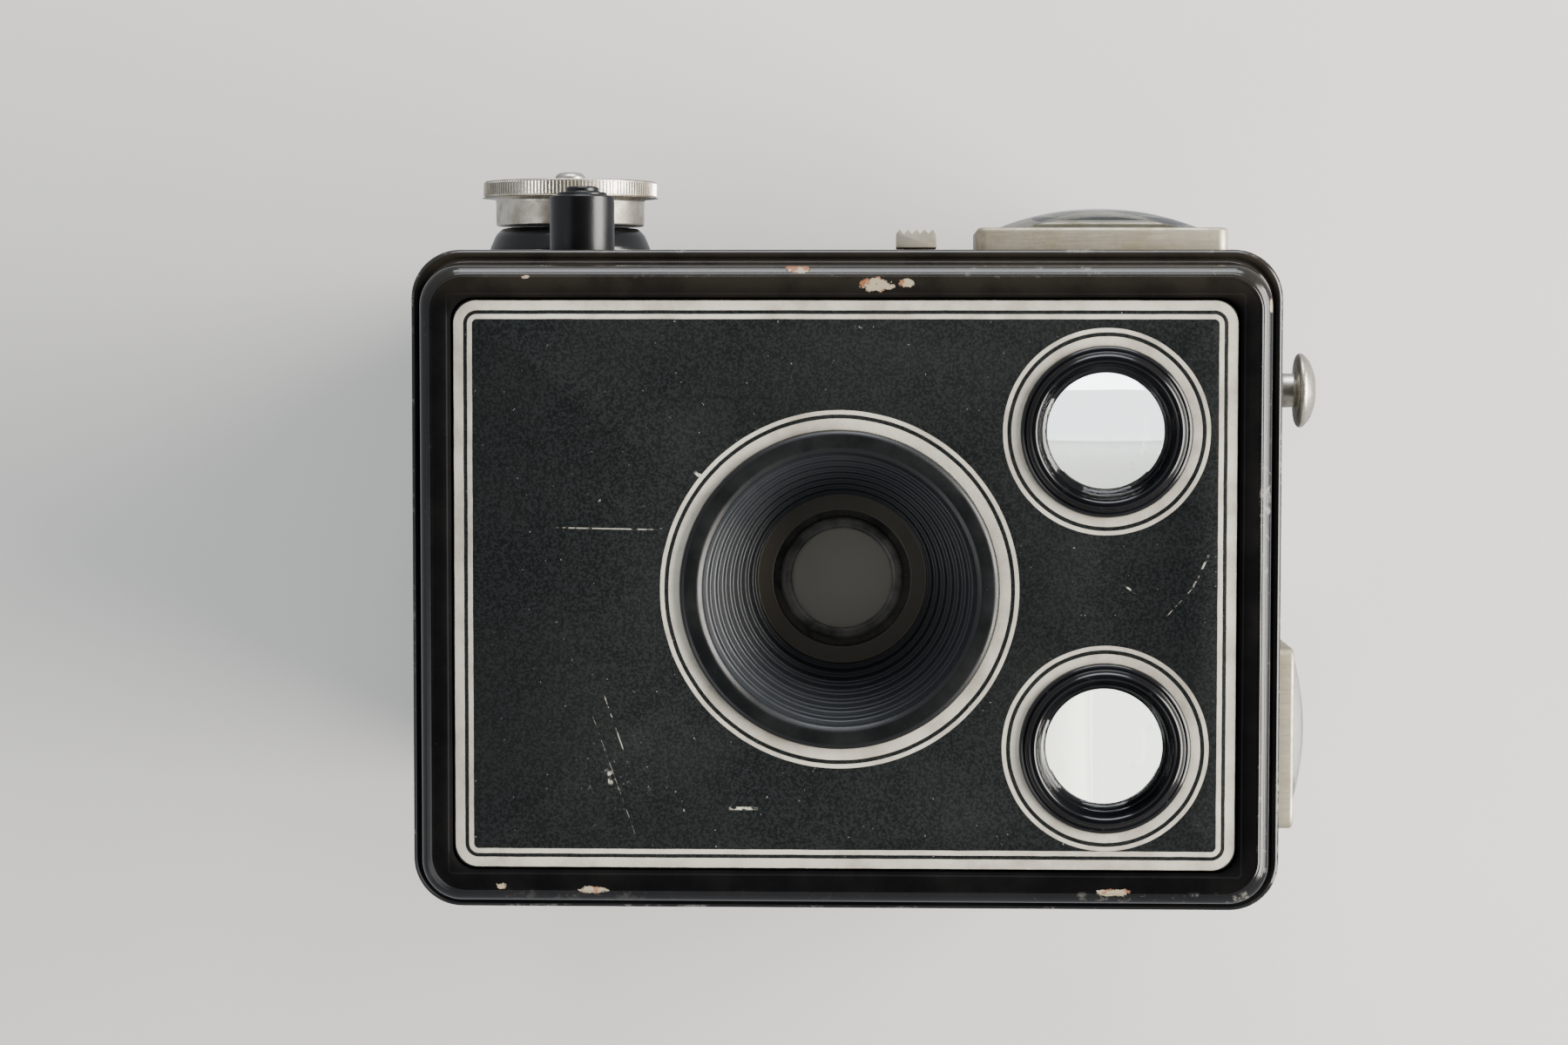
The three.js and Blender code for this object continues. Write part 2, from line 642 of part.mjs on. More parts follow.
// The cone's steps: each one goes in by a tread and back by a riser.
const coneSteps = [];
const tread = (CONE_MOUTH_RADIUS - CONE_THROAT_RADIUS) / CONE_STEPS;
const riser = CONE_DEPTH / CONE_STEPS;
for (let i = 0; i < CONE_STEPS; i += 1) {
  const radius = CONE_MOUTH_RADIUS - tread * i;
  const depth = riser * i;
  coneSteps.push([radius, depth + riser * 0.75], [radius - tread, depth + riser]);
}
const coneRimTop = PLATE_FRONT - CONE_RIM_PROUD;
const coneBack = CONE_END + CELL_LENGTH - 0.8;
const coneProfile = [
  [CONE_NECK_RADIUS, PLATE_FRONT - SEAT],
  [CONE_RIM_RADIUS, PLATE_FRONT - SEAT],
  [CONE_RIM_RADIUS, coneRimTop + 0.4],
  [CONE_RIM_RADIUS - 0.4, coneRimTop],
  [CONE_MOUTH_RADIUS + 0.3, coneRimTop],
  [CONE_MOUTH_RADIUS, coneRimTop + 0.3],
  ...coneSteps,
  [CONE_THROAT_RADIUS, CONE_END],
  [CELL_RADIUS + 0.9, CONE_END],
  [CELL_RADIUS + 0.9, coneBack],
  [CONE_THROAT_RADIUS + CONE_WALL, coneBack],
  [CONE_THROAT_RADIUS + CONE_WALL, CONE_DEPTH],
  [CONE_NECK_RADIUS, riser * 0.75 + 1],
];
add('lens_cone', turned(coneProfile).translate(FACE_SHIFT, 0, LENS_Z), MATT_BLACK);

// A ring with a front lip and a flange that closes against the cone's rear end.
const cellBore = CELL_RADIUS - 0.5;
const cellProfile = [
  [CELL_LIP_RADIUS, CELL_FRONT],
  [CELL_LIP_RADIUS, CELL_FRONT + 0.6],
  [cellBore, CELL_FRONT + 0.6],
  [cellBore, CELL_BACK],
  [CONE_THROAT_RADIUS, CELL_BACK],
  [CONE_THROAT_RADIUS, coneBack + SEAT],
  [CELL_RADIUS, coneBack + SEAT],
  [CELL_RADIUS, CELL_FRONT],
];
add('lens_cell', turned(cellProfile).translate(FACE_SHIFT, 0, LENS_Z), MATT_BLACK);

// Meniscus lens, its hollow side to the film.
const glassRadius = cellBore - SEAT;
const sag = (r, curve) => curve - Math.sqrt(curve ** 2 - r ** 2);
const lensRadii = [0, 0.2, 0.4, 0.6, 0.8];
const lipRadius = CELL_LIP_RADIUS - 0.1;
const glassShoulder = CELL_FRONT + 0.6 + SEAT;
const lensCrown = glassShoulder - sag(lipRadius, LENS_FRONT_CURVE);
const lensBack = lensCrown + LENS_THICKNESS;
const lensProfile = [
  ...lensRadii.map((f) => [f * lipRadius, lensCrown + sag(f * lipRadius, LENS_FRONT_CURVE)]),
  [lipRadius, glassShoulder],
  [glassRadius, glassShoulder],
  [glassRadius, lensBack + sag(glassRadius, LENS_BACK_CURVE)],
  ...[0.8, 0.6, 0.4, 0.2, 0].map(
    (f) => [f * glassRadius, lensBack + sag(f * glassRadius, LENS_BACK_CURVE)],
  ),
];
add('lens', turned(lensProfile).translate(FACE_SHIFT, 0, LENS_Z), GLASS);

// Rotary blade: a disc with one round opening that swings past the lens.
const holeAngle = THREE.MathUtils.degToRad(90 + BLADE_SWING / 2);
const bladePivotHole = barY(
  BLADE_PIVOT_RADIUS + RUNNING,
  BLADE_FRONT - 1,
  BLADE_BACK + 1,
  FACE_SHIFT,
  BLADE_PIVOT_Z,
);
const bladeOpening = barY(
  BLADE_HOLE_RADIUS,
  BLADE_FRONT - 1,
  BLADE_BACK + 1,
  FACE_SHIFT + BLADE_PIVOT_DROP * Math.cos(holeAngle),
  BLADE_PIVOT_Z + BLADE_PIVOT_DROP * Math.sin(holeAngle),
);
add(
  'shutter_blade',
  cut(
    barY(BLADE_RADIUS, BLADE_FRONT, BLADE_BACK, FACE_SHIFT, BLADE_PIVOT_Z, ROUND),
    bladePivotHole,
    bladeOpening,
  ),
  STEEL,
);

// A headed rivet along the depth direction, from the shutter plate forwards.
function pivotRivet(x, z, headDepth, stem) {
  return turned([
    [0, headDepth - 0.8],
    [0, SHUTTER_PLATE_BACK],
    [stem, SHUTTER_PLATE_BACK],
    [stem, headDepth],
    [stem + 1.1, headDepth],
    [stem + 1.1, headDepth - 0.5],
    [stem + 0.7, headDepth - 0.8],
  ], SMALL).translate(x, 0, z);
}
add('blade_pivot', pivotRivet(FACE_SHIFT, BLADE_PIVOT_Z, BLADE_FRONT - 0.2, BLADE_PIVOT_RADIUS), BRASS);

// Trip lever: a flat arm with a tab bent forwards to meet the release post's end.
const leverBack = BLADE_FRONT - 0.5;
const leverFront = leverBack - SHEET;
const tabX = -INNER_X + POST_REACH + CLEAR;
const leverFlat = plateY([
  [LEVER_PIVOT_X - LEVER_HALF_WIDTH, LEVER_Z - 2],
  [tabX, POST_Z - 4],
  [tabX + 3, POST_Z - 4],
  [LEVER_PIVOT_X + LEVER_HALF_WIDTH, LEVER_Z - 2],
  [LEVER_PIVOT_X + LEVER_HALF_WIDTH, LEVER_Z + 3.4],
  [LEVER_PIVOT_X - LEVER_HALF_WIDTH, LEVER_Z + 3.4],
], leverFront, leverBack);
const leverTab = block(
  tabX,
  tabX + SHEET,
  POST_DEPTH - 2.5,
  leverFront + 0.1,
  POST_Z - 4,
  POST_Z + 0.5,
);
const leverHole = barY(LEVER_PIVOT_RADIUS + RUNNING, leverFront - 1, leverBack + 1, LEVER_PIVOT_X, LEVER_Z);
add('trip_lever', cut(join(leverFlat, leverTab), leverHole), STEEL);
add('lever_pivot', pivotRivet(LEVER_PIVOT_X, LEVER_Z, leverFront - 3, LEVER_PIVOT_RADIUS), BRASS);

// Hairpin return spring: coils round the lever's pivot, one leg to the lever, one to the plate.
class SpringLine extends THREE.Curve {
  constructor(radius, turns, rise, leg) {
    super();
    this.radius = radius;
    this.turns = turns;
    this.rise = rise;
    this.leg = leg;
  }

  getPoint(t, target = new THREE.Vector3()) {
    const legShare = 0.1;
    const coilT = THREE.MathUtils.clamp((t - legShare) / (1 - 2 * legShare), 0, 1);
    const angle = coilT * this.turns * Math.PI * 2;
    const point = target.set(
      this.radius * Math.cos(angle),
      this.rise * coilT,
      this.radius * Math.sin(angle),
    );
    const over = t < legShare ? legShare - t : Math.max(t - 1 + legShare, 0);
    const side = t < legShare ? -1 : 1;
    const reach = (over / legShare) * this.leg;
    point.x += -Math.sin(angle) * side * reach;
    point.z += Math.cos(angle) * side * reach;
    return point;
  }
}
const wireShape = new THREE.Shape().absarc(0, 0, 0.25, 0, Math.PI * 2);
const springGeometry = new THREE.ExtrudeGeometry(wireShape, {
  steps: 30,
  curveSegments: 3,
  bevelEnabled: false,
  extrudePath: new SpringLine(1.9, 2.5, 2, 5),
}).translate(LEVER_PIVOT_X, leverFront - 2.6, LEVER_Z);
add('return_spring', springGeometry, STEEL);

// Shutter plate across the body, with a flange at each side.
const shutterPlateFlat = block(
  -SHUTTER_PLATE_HALF_WIDTH,
  SHUTTER_PLATE_HALF_WIDTH,
  SHUTTER_PLATE_FRONT,
  SHUTTER_PLATE_BACK,
  SHUTTER_PLATE_BOTTOM,
  SHUTTER_PLATE_TOP,
);
const shutterFlanges = [-1, 1].map((s) => {
  const edgeX = s * SHUTTER_PLATE_HALF_WIDTH;
  const x0 = Math.min(edgeX, edgeX - s * SHEET);
  return block(
    x0,
    x0 + SHEET,
    SHUTTER_PLATE_FRONT + 0.1,
    SHUTTER_PLATE_BACK + 4,
    SHUTTER_PLATE_BOTTOM + 4,
    SHUTTER_PLATE_TOP - 10,
  );
});
const plateHole = (radius, x, z) => barY(
  radius,
  SHUTTER_PLATE_FRONT - 1,
  SHUTTER_PLATE_BACK + 1,
  x,
  z,
);
add(
  'shutter_plate',
  cut(
    join(shutterPlateFlat, ...shutterFlanges),
    plateHole(APERTURE_RADIUS, FACE_SHIFT, LENS_Z),
    plateHole(BLADE_PIVOT_RADIUS + SEAT, FACE_SHIFT, BLADE_PIVOT_Z),
    plateHole(LEVER_PIVOT_RADIUS + SEAT, LEVER_PIVOT_X, LEVER_Z),
  ),
  STEEL,
);

// Release post: a stepped black button with a stem through the guide bush.
const postSteps = [];
let stepHeight = POST_STAND;
let stepRadius = POST_RADIUS;
POST_STEP_RADII.forEach((radius, i) => {
  postSteps.push([stepRadius - 0.12, stepHeight], [radius, stepHeight]);
  stepHeight += POST_STEP_HEIGHTS[i];
  stepRadius = radius;
});
const post = turned([
  [0, -LINED - POST_REACH],
  [POST_RADIUS - 0.4, -LINED - POST_REACH],
  [POST_RADIUS, -LINED - POST_REACH + 0.4],
  [POST_RADIUS, POST_STAND - 0.15],
  ...postSteps,
  [stepRadius, stepHeight - 0.15],
  [stepRadius - 0.2, stepHeight],
  [0, stepHeight],
], MIDDLE);
add('release_post', towardsMinusX(post).translate(-WALL_X, POST_DEPTH, POST_Z), ENAMEL);
add(
  'release_guide',
  towardsMinusX(turned([
    [POST_RADIUS + RUNNING, 0],
    [POST_RADIUS + 1.1, 0],
    [POST_RADIUS + 1.1, GUIDE_LENGTH],
    [POST_RADIUS + RUNNING, GUIDE_LENGTH],
  ], MIDDLE)).translate(-INNER_X + GUIDE_LENGTH + SEAT, POST_DEPTH, POST_Z),
  BRASS,
);

// Slider: a sawtooth-topped tab outside, a neck through the slot and a plate inside the wall.
const pitch = SLIDER_LENGTH / SLIDER_TEETH;
const toothTop = WALL_X + SLIDER_STAND;
const toothLine = [];
for (let i = 0; i < SLIDER_TEETH; i += 1) {
  const start = SLIDER_Z + SLIDER_LENGTH / 2 - i * pitch;
  toothLine.push([-toothTop + SLIDER_TOOTH, start - 0.02], [-toothTop, start - pitch * 0.5]);
}
toothLine.push([-toothTop + SLIDER_TOOTH, SLIDER_Z - SLIDER_LENGTH / 2]);
const tab = plateY([
  [-WALL_X - CLEAR, SLIDER_Z - SLIDER_LENGTH / 2],
  [-WALL_X - CLEAR, SLIDER_Z + SLIDER_LENGTH / 2],
  ...toothLine,
], SLIDER_DEPTH - SLIDER_BREADTH / 2, SLIDER_DEPTH + SLIDER_BREADTH / 2);
const sliderNeck = block(
  -WALL_X - CLEAR - 0.1,
  -INNER_X + CLEAR + 0.1,
  SLIDER_DEPTH - SLIDER_NECK_BREADTH / 2,
  SLIDER_DEPTH + SLIDER_NECK_BREADTH / 2,
  SLIDER_Z - SLIDER_NECK / 2,
  SLIDER_Z + SLIDER_NECK / 2,
);
const sliderInner = block(
  -INNER_X + CLEAR,
  -INNER_X + CLEAR + SHEET,
  SLIDER_DEPTH - 5,
  SHUTTER_PLATE_FRONT - 1,
  SLIDER_Z - 3,
  SLIDER_Z + 3,
);
add('speed_slider', join(tab, sliderNeck, sliderInner), NICKEL);

// ---------------------------------------------------------------------------
// Winding knob and key
// ---------------------------------------------------------------------------

function alongKey(profile, sides = ROUND) {
  return towardsMinusX(turned(profile, sides)).translate(-WALL_X, KEY_DEPTH, KEY_Z);
}
const shaftHole = KEY_SHAFT_RADIUS + RUNNING;
add('knob_boss', alongKey([
  [shaftHole, SEAT],
  [BOSS_RADIUS, SEAT],
  [BOSS_RADIUS, 0.9],
  [BOSS_RADIUS - 0.9, BOSS_STAND - 1],
  [BOSS_RADIUS - 1.8, BOSS_STAND],
  [shaftHole, BOSS_STAND],
]), ENAMEL);

// The knob: a plain drum with a knurled rim at its outer end.
const drumFoot = BOSS_STAND + CLEAR;
const rimFoot = drumFoot + KNOB_LENGTH;
const rimTop = rimFoot + KNOB_RIM_THICKNESS;
const knurl = new THREE.Shape();
for (let i = 0; i < KNOB_TEETH; i += 1) {
  const a = (i / KNOB_TEETH) * Math.PI * 2;
  const b = ((i + 0.5) / KNOB_TEETH) * Math.PI * 2;
  const root = KNOB_RIM_RADIUS - KNURL_DEPTH;
  const crestPoint = [KNOB_RIM_RADIUS * Math.cos(a), KNOB_RIM_RADIUS * Math.sin(a)];
  if (i === 0) {
    knurl.moveTo(...crestPoint);
  } else {
    knurl.lineTo(...crestPoint);
  }
  knurl.lineTo(root * Math.cos(b), root * Math.sin(b));
}
const rim = new THREE.ExtrudeGeometry(knurl, { depth: KNOB_RIM_THICKNESS, bevelEnabled: false })
  .rotateY(-Math.PI / 2).translate(-WALL_X - rimFoot, KEY_DEPTH, KEY_Z);
const drum = alongKey([
  [0, drumFoot],
  [KNOB_RADIUS, drumFoot],
  [KNOB_RADIUS, rimFoot + 0.1],
  [0, rimFoot + 0.1],
]);
const shaftSocket = barX(
  KEY_SHAFT_RADIUS + SEAT,
  -WALL_X - rimTop - 1,
  -WALL_X,
  KEY_DEPTH,
  KEY_Z,
);
add('wind_knob', cut(join(drum, rim), shaftSocket), NICKEL);

// Drawn right out, the blade clears the spool's end by 3.
const keyTip = SPOOL_END - (KEY_TRAVEL - 3);
const shaftEnd = SIDE_PLATE_OUTER + 0.4;
const keyShaft = join(
  barX(KEY_SHAFT_RADIUS, -WALL_X - rimTop, -shaftEnd, KEY_DEPTH, KEY_Z),
  block(
    -shaftEnd - 0.1,
    -keyTip,
    KEY_DEPTH - KEY_BLADE_SHEET / 2,
    KEY_DEPTH + KEY_BLADE_SHEET / 2,
    KEY_Z - BLADE_WIDTH / 2,
    KEY_Z + BLADE_WIDTH / 2,
  ),
);
add('key_shaft', keyShaft, STEEL);
add('knob_rivet', alongKey([
  [0, rimTop + SEAT],
  [CAP_RADIUS, rimTop + SEAT],
  [CAP_RADIUS, rimTop + CAP_STAND - 0.5],
  [CAP_RADIUS * 0.75, rimTop + CAP_STAND - 0.12],
  [0, rimTop + CAP_STAND],
], SMALL), NICKEL);

// ---------------------------------------------------------------------------
// Strap studs
// ---------------------------------------------------------------------------

const studUnder = STUD_RIM_HEIGHT - 0.9;
STUD_DEPTHS.forEach((depth, i) => {
  const stud = turned([
    [0, -COVER - 0.1],
    [STUD_SHANK_RADIUS, -COVER - 0.1],
    [STUD_SHANK_RADIUS, SEAT],
    [STUD_STEM_RADIUS + 0.7, SEAT],
    [STUD_STEM_RADIUS + 0.7, 0.5],
    [STUD_STEM_RADIUS, 0.8],
    [STUD_STEM_RADIUS, studUnder],
    [STUD_CAP_RADIUS - 0.4, studUnder],
    [STUD_CAP_RADIUS, studUnder + 0.5],
    [STUD_CAP_RADIUS * 0.93, STUD_RIM_HEIGHT + 0.5],
    [STUD_CAP_RADIUS * 0.72, STUD_CROWN_HEIGHT - 0.75],
    [STUD_CAP_RADIUS * 0.4, STUD_CROWN_HEIGHT - 0.15],
    [0, STUD_CROWN_HEIGHT],
  ], MIDDLE);
  add(
    `strap_stud_${i === 0 ? 'front' : 'rear'}`,
    towardsTop(stud).translate(STUD_X, depth, BODY_HEIGHT),
    NICKEL,
  );
});

// ---------------------------------------------------------------------------
// Film carrier
// ---------------------------------------------------------------------------

// A four-sided funnel between two rectangles at two depths, as a solid.
function funnel(w0, h0, d0, w1, h1, d1) {
  const geometry = new THREE.BoxGeometry(2, 2, 2);
  const position = geometry.attributes.position;
  for (let i = 0; i < position.count; i += 1) {
    const back = position.getY(i) > 0;
    position.setXYZ(
      i,
      (position.getX(i) * (back ? w1 : w0)) / 2,
      back ? d1 : d0,
      CENTRE_Z + (position.getZ(i) * (back ? h1 : h0)) / 2,
    );
  }
  return geometry;
}
const funnelEnd = GATE_FRONT - SEAT;
const flare = (GATE_HEIGHT - CARRIER_MOUTH_HEIGHT) / (funnelEnd - CARRIER_FRONT);
const spread = (GATE_WIDTH - CARRIER_MOUTH_WIDTH) / (funnelEnd - CARRIER_FRONT);
const funnelWall = 2 * CARRIER_SHEET;
add('carrier_cone', cut(
  funnel(
    CARRIER_MOUTH_WIDTH + funnelWall,
    CARRIER_MOUTH_HEIGHT + funnelWall,
    CARRIER_FRONT,
    GATE_WIDTH + funnelWall,
    GATE_HEIGHT + funnelWall,
    funnelEnd,
  ),
  funnel(
    CARRIER_MOUTH_WIDTH - spread,
    CARRIER_MOUTH_HEIGHT - flare,
    CARRIER_FRONT - 1,
    GATE_WIDTH + spread,
    GATE_HEIGHT + flare,
    funnelEnd + 1,
  ),
), MATT_BLACK);

// Gate frame: closes the space between the gate and the collar, notched over the hinge leaf.
const leafBottom = COLLAR_INNER_INSET + SEAT;
const leafTop = leafBottom + SHEET;
const gateNotch = block(
  -HINGE_HALF_WIDTH - 1,
  HINGE_HALF_WIDTH + 1,
  GATE_FRONT - 1,
  FILM_PLANE + 1,
  0,
  leafTop + CLEAR,
);
add('gate_frame', cut(
  bodyPrism(COLLAR_INNER_INSET + CLEAR, GATE_FRONT, FILM_PLANE),
  prism(roundedRect(GATE_WIDTH, GATE_HEIGHT, 0.6), GATE_FRONT - 1, FILM_PLANE + 1)
    .translate(0, 0, CENTRE_Z),
  gateNotch,
  ...ROLLER_ZS.map((z) => block(
    -GATE_WIDTH / 2 - 3,
    GATE_WIDTH / 2 + 3,
    GATE_FRONT - 1,
    FILM_PLANE + 1,
    z - ROLLER_RADIUS * 0.7,
    z + ROLLER_RADIUS * 0.7,
  )),
), MATT_BLACK);

// Side plates that carry the spools and the rollers. They start behind the side finder's box.
const sideFront = WINDOW_FRONT + WINDOW_BREADTH + 2 * CLEAR;
const sideBottom = SIDE_PLATE_END;
const sideTop = BODY_HEIGHT - SIDE_PLATE_END;
const axes = {
  takeup: [KEY_DEPTH, KEY_Z],
  supply: [SUPPLY_DEPTH, SUPPLY_Z],
};
[-1, 1].forEach((side) => {
  const x0 = side < 0 ? -SIDE_PLATE_OUTER : SIDE_PLATE_INNER;
  const x1 = x0 + CARRIER_SHEET;
  const pinHole = SPOOL_BORE_RADIUS - 0.1 + SEAT;
  const holeAt = ([depth, z], radius) => barX(radius, x0 - 1, x1 + 1, depth, z);
  const plate = cut(
    block(x0, x1, sideFront, GATE_FRONT - SEAT, sideBottom, sideTop),
    holeAt(axes.takeup, side < 0 ? KEY_SHAFT_RADIUS + 0.6 : pinHole),
    holeAt(axes.supply, pinHole),
    ...ROLLER_ZS.map((z) => holeAt([ROLLER_DEPTH, z], ROLLER_PIVOT_RADIUS + RUNNING)),
  );
  add(`carrier_side_${side < 0 ? 'left' : 'right'}`, plate, MATT_BLACK);
});

// Rollers with turned-down ends that run in the side plates.
['bottom', 'top'].forEach((where, i) => {
  const half = SIDE_PLATE_INNER - CLEAR;
  const pivotHalf = SIDE_PLATE_OUTER + 0.2;
  const roller = join(
    barX(ROLLER_RADIUS, -half, half, ROLLER_DEPTH, ROLLER_ZS[i], SMALL),
    barX(ROLLER_PIVOT_RADIUS, -pivotHalf, pivotHalf, ROLLER_DEPTH, ROLLER_ZS[i], SMALL),
  );
  add(`roller_${where}`, roller, NICKEL);
});

// A film spool with a key slot across each end.
function spool([depth, z]) {
  const s = SPOOL_END;
  const body = turned([
    [0, -s],
    [SPOOL_FLANGE_RADIUS, -s],
    [SPOOL_FLANGE_RADIUS, -s + SPOOL_FLANGE_SHEET],
    [SPOOL_CORE_RADIUS, -s + SPOOL_FLANGE_SHEET],
    [SPOOL_CORE_RADIUS, s - SPOOL_FLANGE_SHEET],
    [SPOOL_FLANGE_RADIUS, s - SPOOL_FLANGE_SHEET],
    [SPOOL_FLANGE_RADIUS, s],
    [0, s],
  ]);
  const bores = [-1, 1].map((e) => barY(
    SPOOL_BORE_RADIUS,
    e < 0 ? -s - 1 : s - SPOOL_BORE_LENGTH,
    e < 0 ? -s + SPOOL_BORE_LENGTH : s + 1,
    0,
    0,
  ));
  const slots = [-1, 1].map((e) => block(
    -BLADE_WIDTH / 2 - 0.35,
    BLADE_WIDTH / 2 + 0.35,
    e < 0 ? -s - 1 : s - SPOOL_BORE_LENGTH,
    e < 0 ? -s + SPOOL_BORE_LENGTH : s + 1,
    -KEY_BLADE_SHEET / 2 - 0.2,
    KEY_BLADE_SHEET / 2 + 0.2,
  ));
  // The slots stand up along Z once the spool lies along X.
  return cut(body, ...bores, ...slots)
    .rotateZ(Math.PI / 2).rotateX(-Math.PI / 2)
    .translate(0, depth, z);
}
add('takeup_spool', spool(axes.takeup), ENAMEL);
add('supply_spool', spool(axes.supply), ENAMEL);

// Spool pins, riveted in the side plates.
function spoolPin(side, [depth, z]) {
  const tip = SPOOL_END - 4.5;
  const pin = turned([
    [0, tip],
    [SPOOL_BORE_RADIUS - 0.3, tip],
    [SPOOL_BORE_RADIUS - 0.1, tip + 0.4],
    [SPOOL_BORE_RADIUS - 0.1, SIDE_PLATE_OUTER + SEAT],
    [SPOOL_BORE_RADIUS + 1, SIDE_PLATE_OUTER + SEAT],
    [SPOOL_BORE_RADIUS + 0.8, SIDE_PLATE_OUTER + 0.7],
    [0, SIDE_PLATE_OUTER + 0.8],
  ], SMALL);
  return pin.rotateZ((side * -Math.PI) / 2).translate(0, depth, z);
}
add('takeup_pin', spoolPin(1, axes.takeup), STEEL);
add('supply_pin_left', spoolPin(-1, axes.supply), STEEL);
add('supply_pin_right', spoolPin(1, axes.supply), STEEL);

// Leaf springs that stand off the carrier cone and press on the rolled film.
function spoolSpring(side) {
  const half = 9;
  const foot = CENTRE_Z + side * (CARRIER_MOUTH_HEIGHT / 2 + CARRIER_SHEET);
  const startDepth = CARRIER_FRONT + 4;
  const surface = (d) => foot + (side * (d - CARRIER_FRONT) * flare) / 2;
  const line = [];
  const count = 10;
  const length = 24;
  for (let i = 0; i <= count; i += 1) {
    const s = i / count;
    const d = startDepth + length * s;
    const lift = 0.35 + 2.4 * Math.sin(Math.PI * s) ** 2;
    line.push([d, surface(d) + side * lift]);
  }
  const back = line.map(([d, h]) => [d, h + side * 0.35]).reverse();
  return plateX([...line, ...back], -half, half);
}
add('takeup_spring', spoolSpring(-1), STEEL);
add('supply_spring', spoolSpring(1), STEEL);

// ---------------------------------------------------------------------------
// Hinged back and its catch
// ---------------------------------------------------------------------------

const doorRimFront = SHELL_BACK + CLEAR;
const doorPan = cut(
  bodyPrism(0, doorRimFront, DOOR_PLATE_BACK),
  bodyPrism(DOOR_SHEET, doorRimFront - 1, DOOR_PLATE_FRONT),
  block(-WALL_X - 1, WALL_X + 1, doorRimFront - 1, DOOR_PLATE_FRONT, -1, DOOR_RIM_BOTTOM),
);
const knuckle = (x0, x1) => barX(HINGE_RADIUS, x0, x1, HINGE_DEPTH, HINGE_Z);
const pinHoleBar = barX(
  HINGE_PIN_RADIUS + RUNNING,
  -HINGE_HALF_WIDTH - 2,
  HINGE_HALF_WIDTH + 2,
  HINGE_DEPTH,
  HINGE_Z,
);
const knuckleNotches = [-1, 1].map((s) => block(
  s < 0 ? -HINGE_HALF_WIDTH - CLEAR * 2 : DOOR_KNUCKLE_HALF,
  s < 0 ? -DOOR_KNUCKLE_HALF : HINGE_HALF_WIDTH + CLEAR * 2,
  SHELL_BACK,
  BODY_DEPTH + 1,
  -1,
  HINGE_Z + HINGE_RADIUS + CLEAR,
));
const redHole = barY(
  RED_WINDOW_RADIUS,
  DOOR_PLATE_FRONT - 1,
  BODY_DEPTH + 1,
  RED_WINDOW_X,
  CENTRE_Z,
  ROUND,
);
add('back_door', cut(
  join(
    cut(doorPan, ...knuckleNotches),
    knuckle(-DOOR_KNUCKLE_HALF + CLEAR, DOOR_KNUCKLE_HALF - CLEAR),
  ),
  pinHoleBar,
  redHole,
), ENAMEL);

const doorCoverBottom = HINGE_Z + HINGE_RADIUS + 1.5;
add('door_covering', cut(
  bodyPrism(1.2, DOOR_PLATE_BACK + 0.02, BODY_DEPTH),
  block(-WALL_X, WALL_X, DOOR_PLATE_BACK - 1, BODY_DEPTH + 1, 0, doorCoverBottom),
  barY(RED_RING_RADIUS + 0.1, DOOR_PLATE_BACK - 1, BODY_DEPTH + 1, RED_WINDOW_X, CENTRE_Z, ROUND),
), LEATHERETTE);

// Red window: a disc behind the plate, under an eyelet seen from outside.
add('red_window', barY(
  RED_WINDOW_RADIUS + 1.5,
  DOOR_PLATE_FRONT - 1 - SEAT,
  DOOR_PLATE_FRONT - SEAT,
  RED_WINDOW_X,
  CENTRE_Z,
  ROUND,
), RED_GLASS);
add('red_window_ring', turned([
  [RED_WINDOW_RADIUS - 0.6, DOOR_PLATE_BACK + SEAT],
  [RED_WINDOW_RADIUS - 0.6, BODY_DEPTH - 0.2],
  [RED_WINDOW_RADIUS, BODY_DEPTH],
  [RED_RING_RADIUS - 0.5, BODY_DEPTH],
  [RED_RING_RADIUS, DOOR_PLATE_BACK + SEAT],
], MIDDLE).translate(RED_WINDOW_X, 0, CENTRE_Z), ENAMEL);

// Hinge leaf on the collar's floor, with a knuckle at each end.
const leafPlate = block(
  -HINGE_HALF_WIDTH,
  HINGE_HALF_WIDTH,
  COLLAR_FRONT + 2,
  COLLAR_BACK + 0.6,
  leafBottom,
  leafTop,
);
const leafArms = [-1, 1].map((s) => block(
  s < 0 ? -HINGE_HALF_WIDTH : DOOR_KNUCKLE_HALF + CLEAR,
  s < 0 ? -DOOR_KNUCKLE_HALF - CLEAR : HINGE_HALF_WIDTH,
  COLLAR_BACK + 0.4,
  HINGE_DEPTH,
  leafBottom,
  leafTop,
));
const leafKnuckles = [-1, 1].map((s) => knuckle(
  s < 0 ? -HINGE_HALF_WIDTH : DOOR_KNUCKLE_HALF + CLEAR,
  s < 0 ? -DOOR_KNUCKLE_HALF - CLEAR : HINGE_HALF_WIDTH,
));
add('hinge_leaf', cut(join(leafPlate, ...leafArms, ...leafKnuckles), pinHoleBar), STEEL);
add('hinge_pin', barX(
  HINGE_PIN_RADIUS,
  -HINGE_HALF_WIDTH + 0.3,
  HINGE_HALF_WIDTH - 0.3,
  HINGE_DEPTH,
  HINGE_Z,
), STEEL);

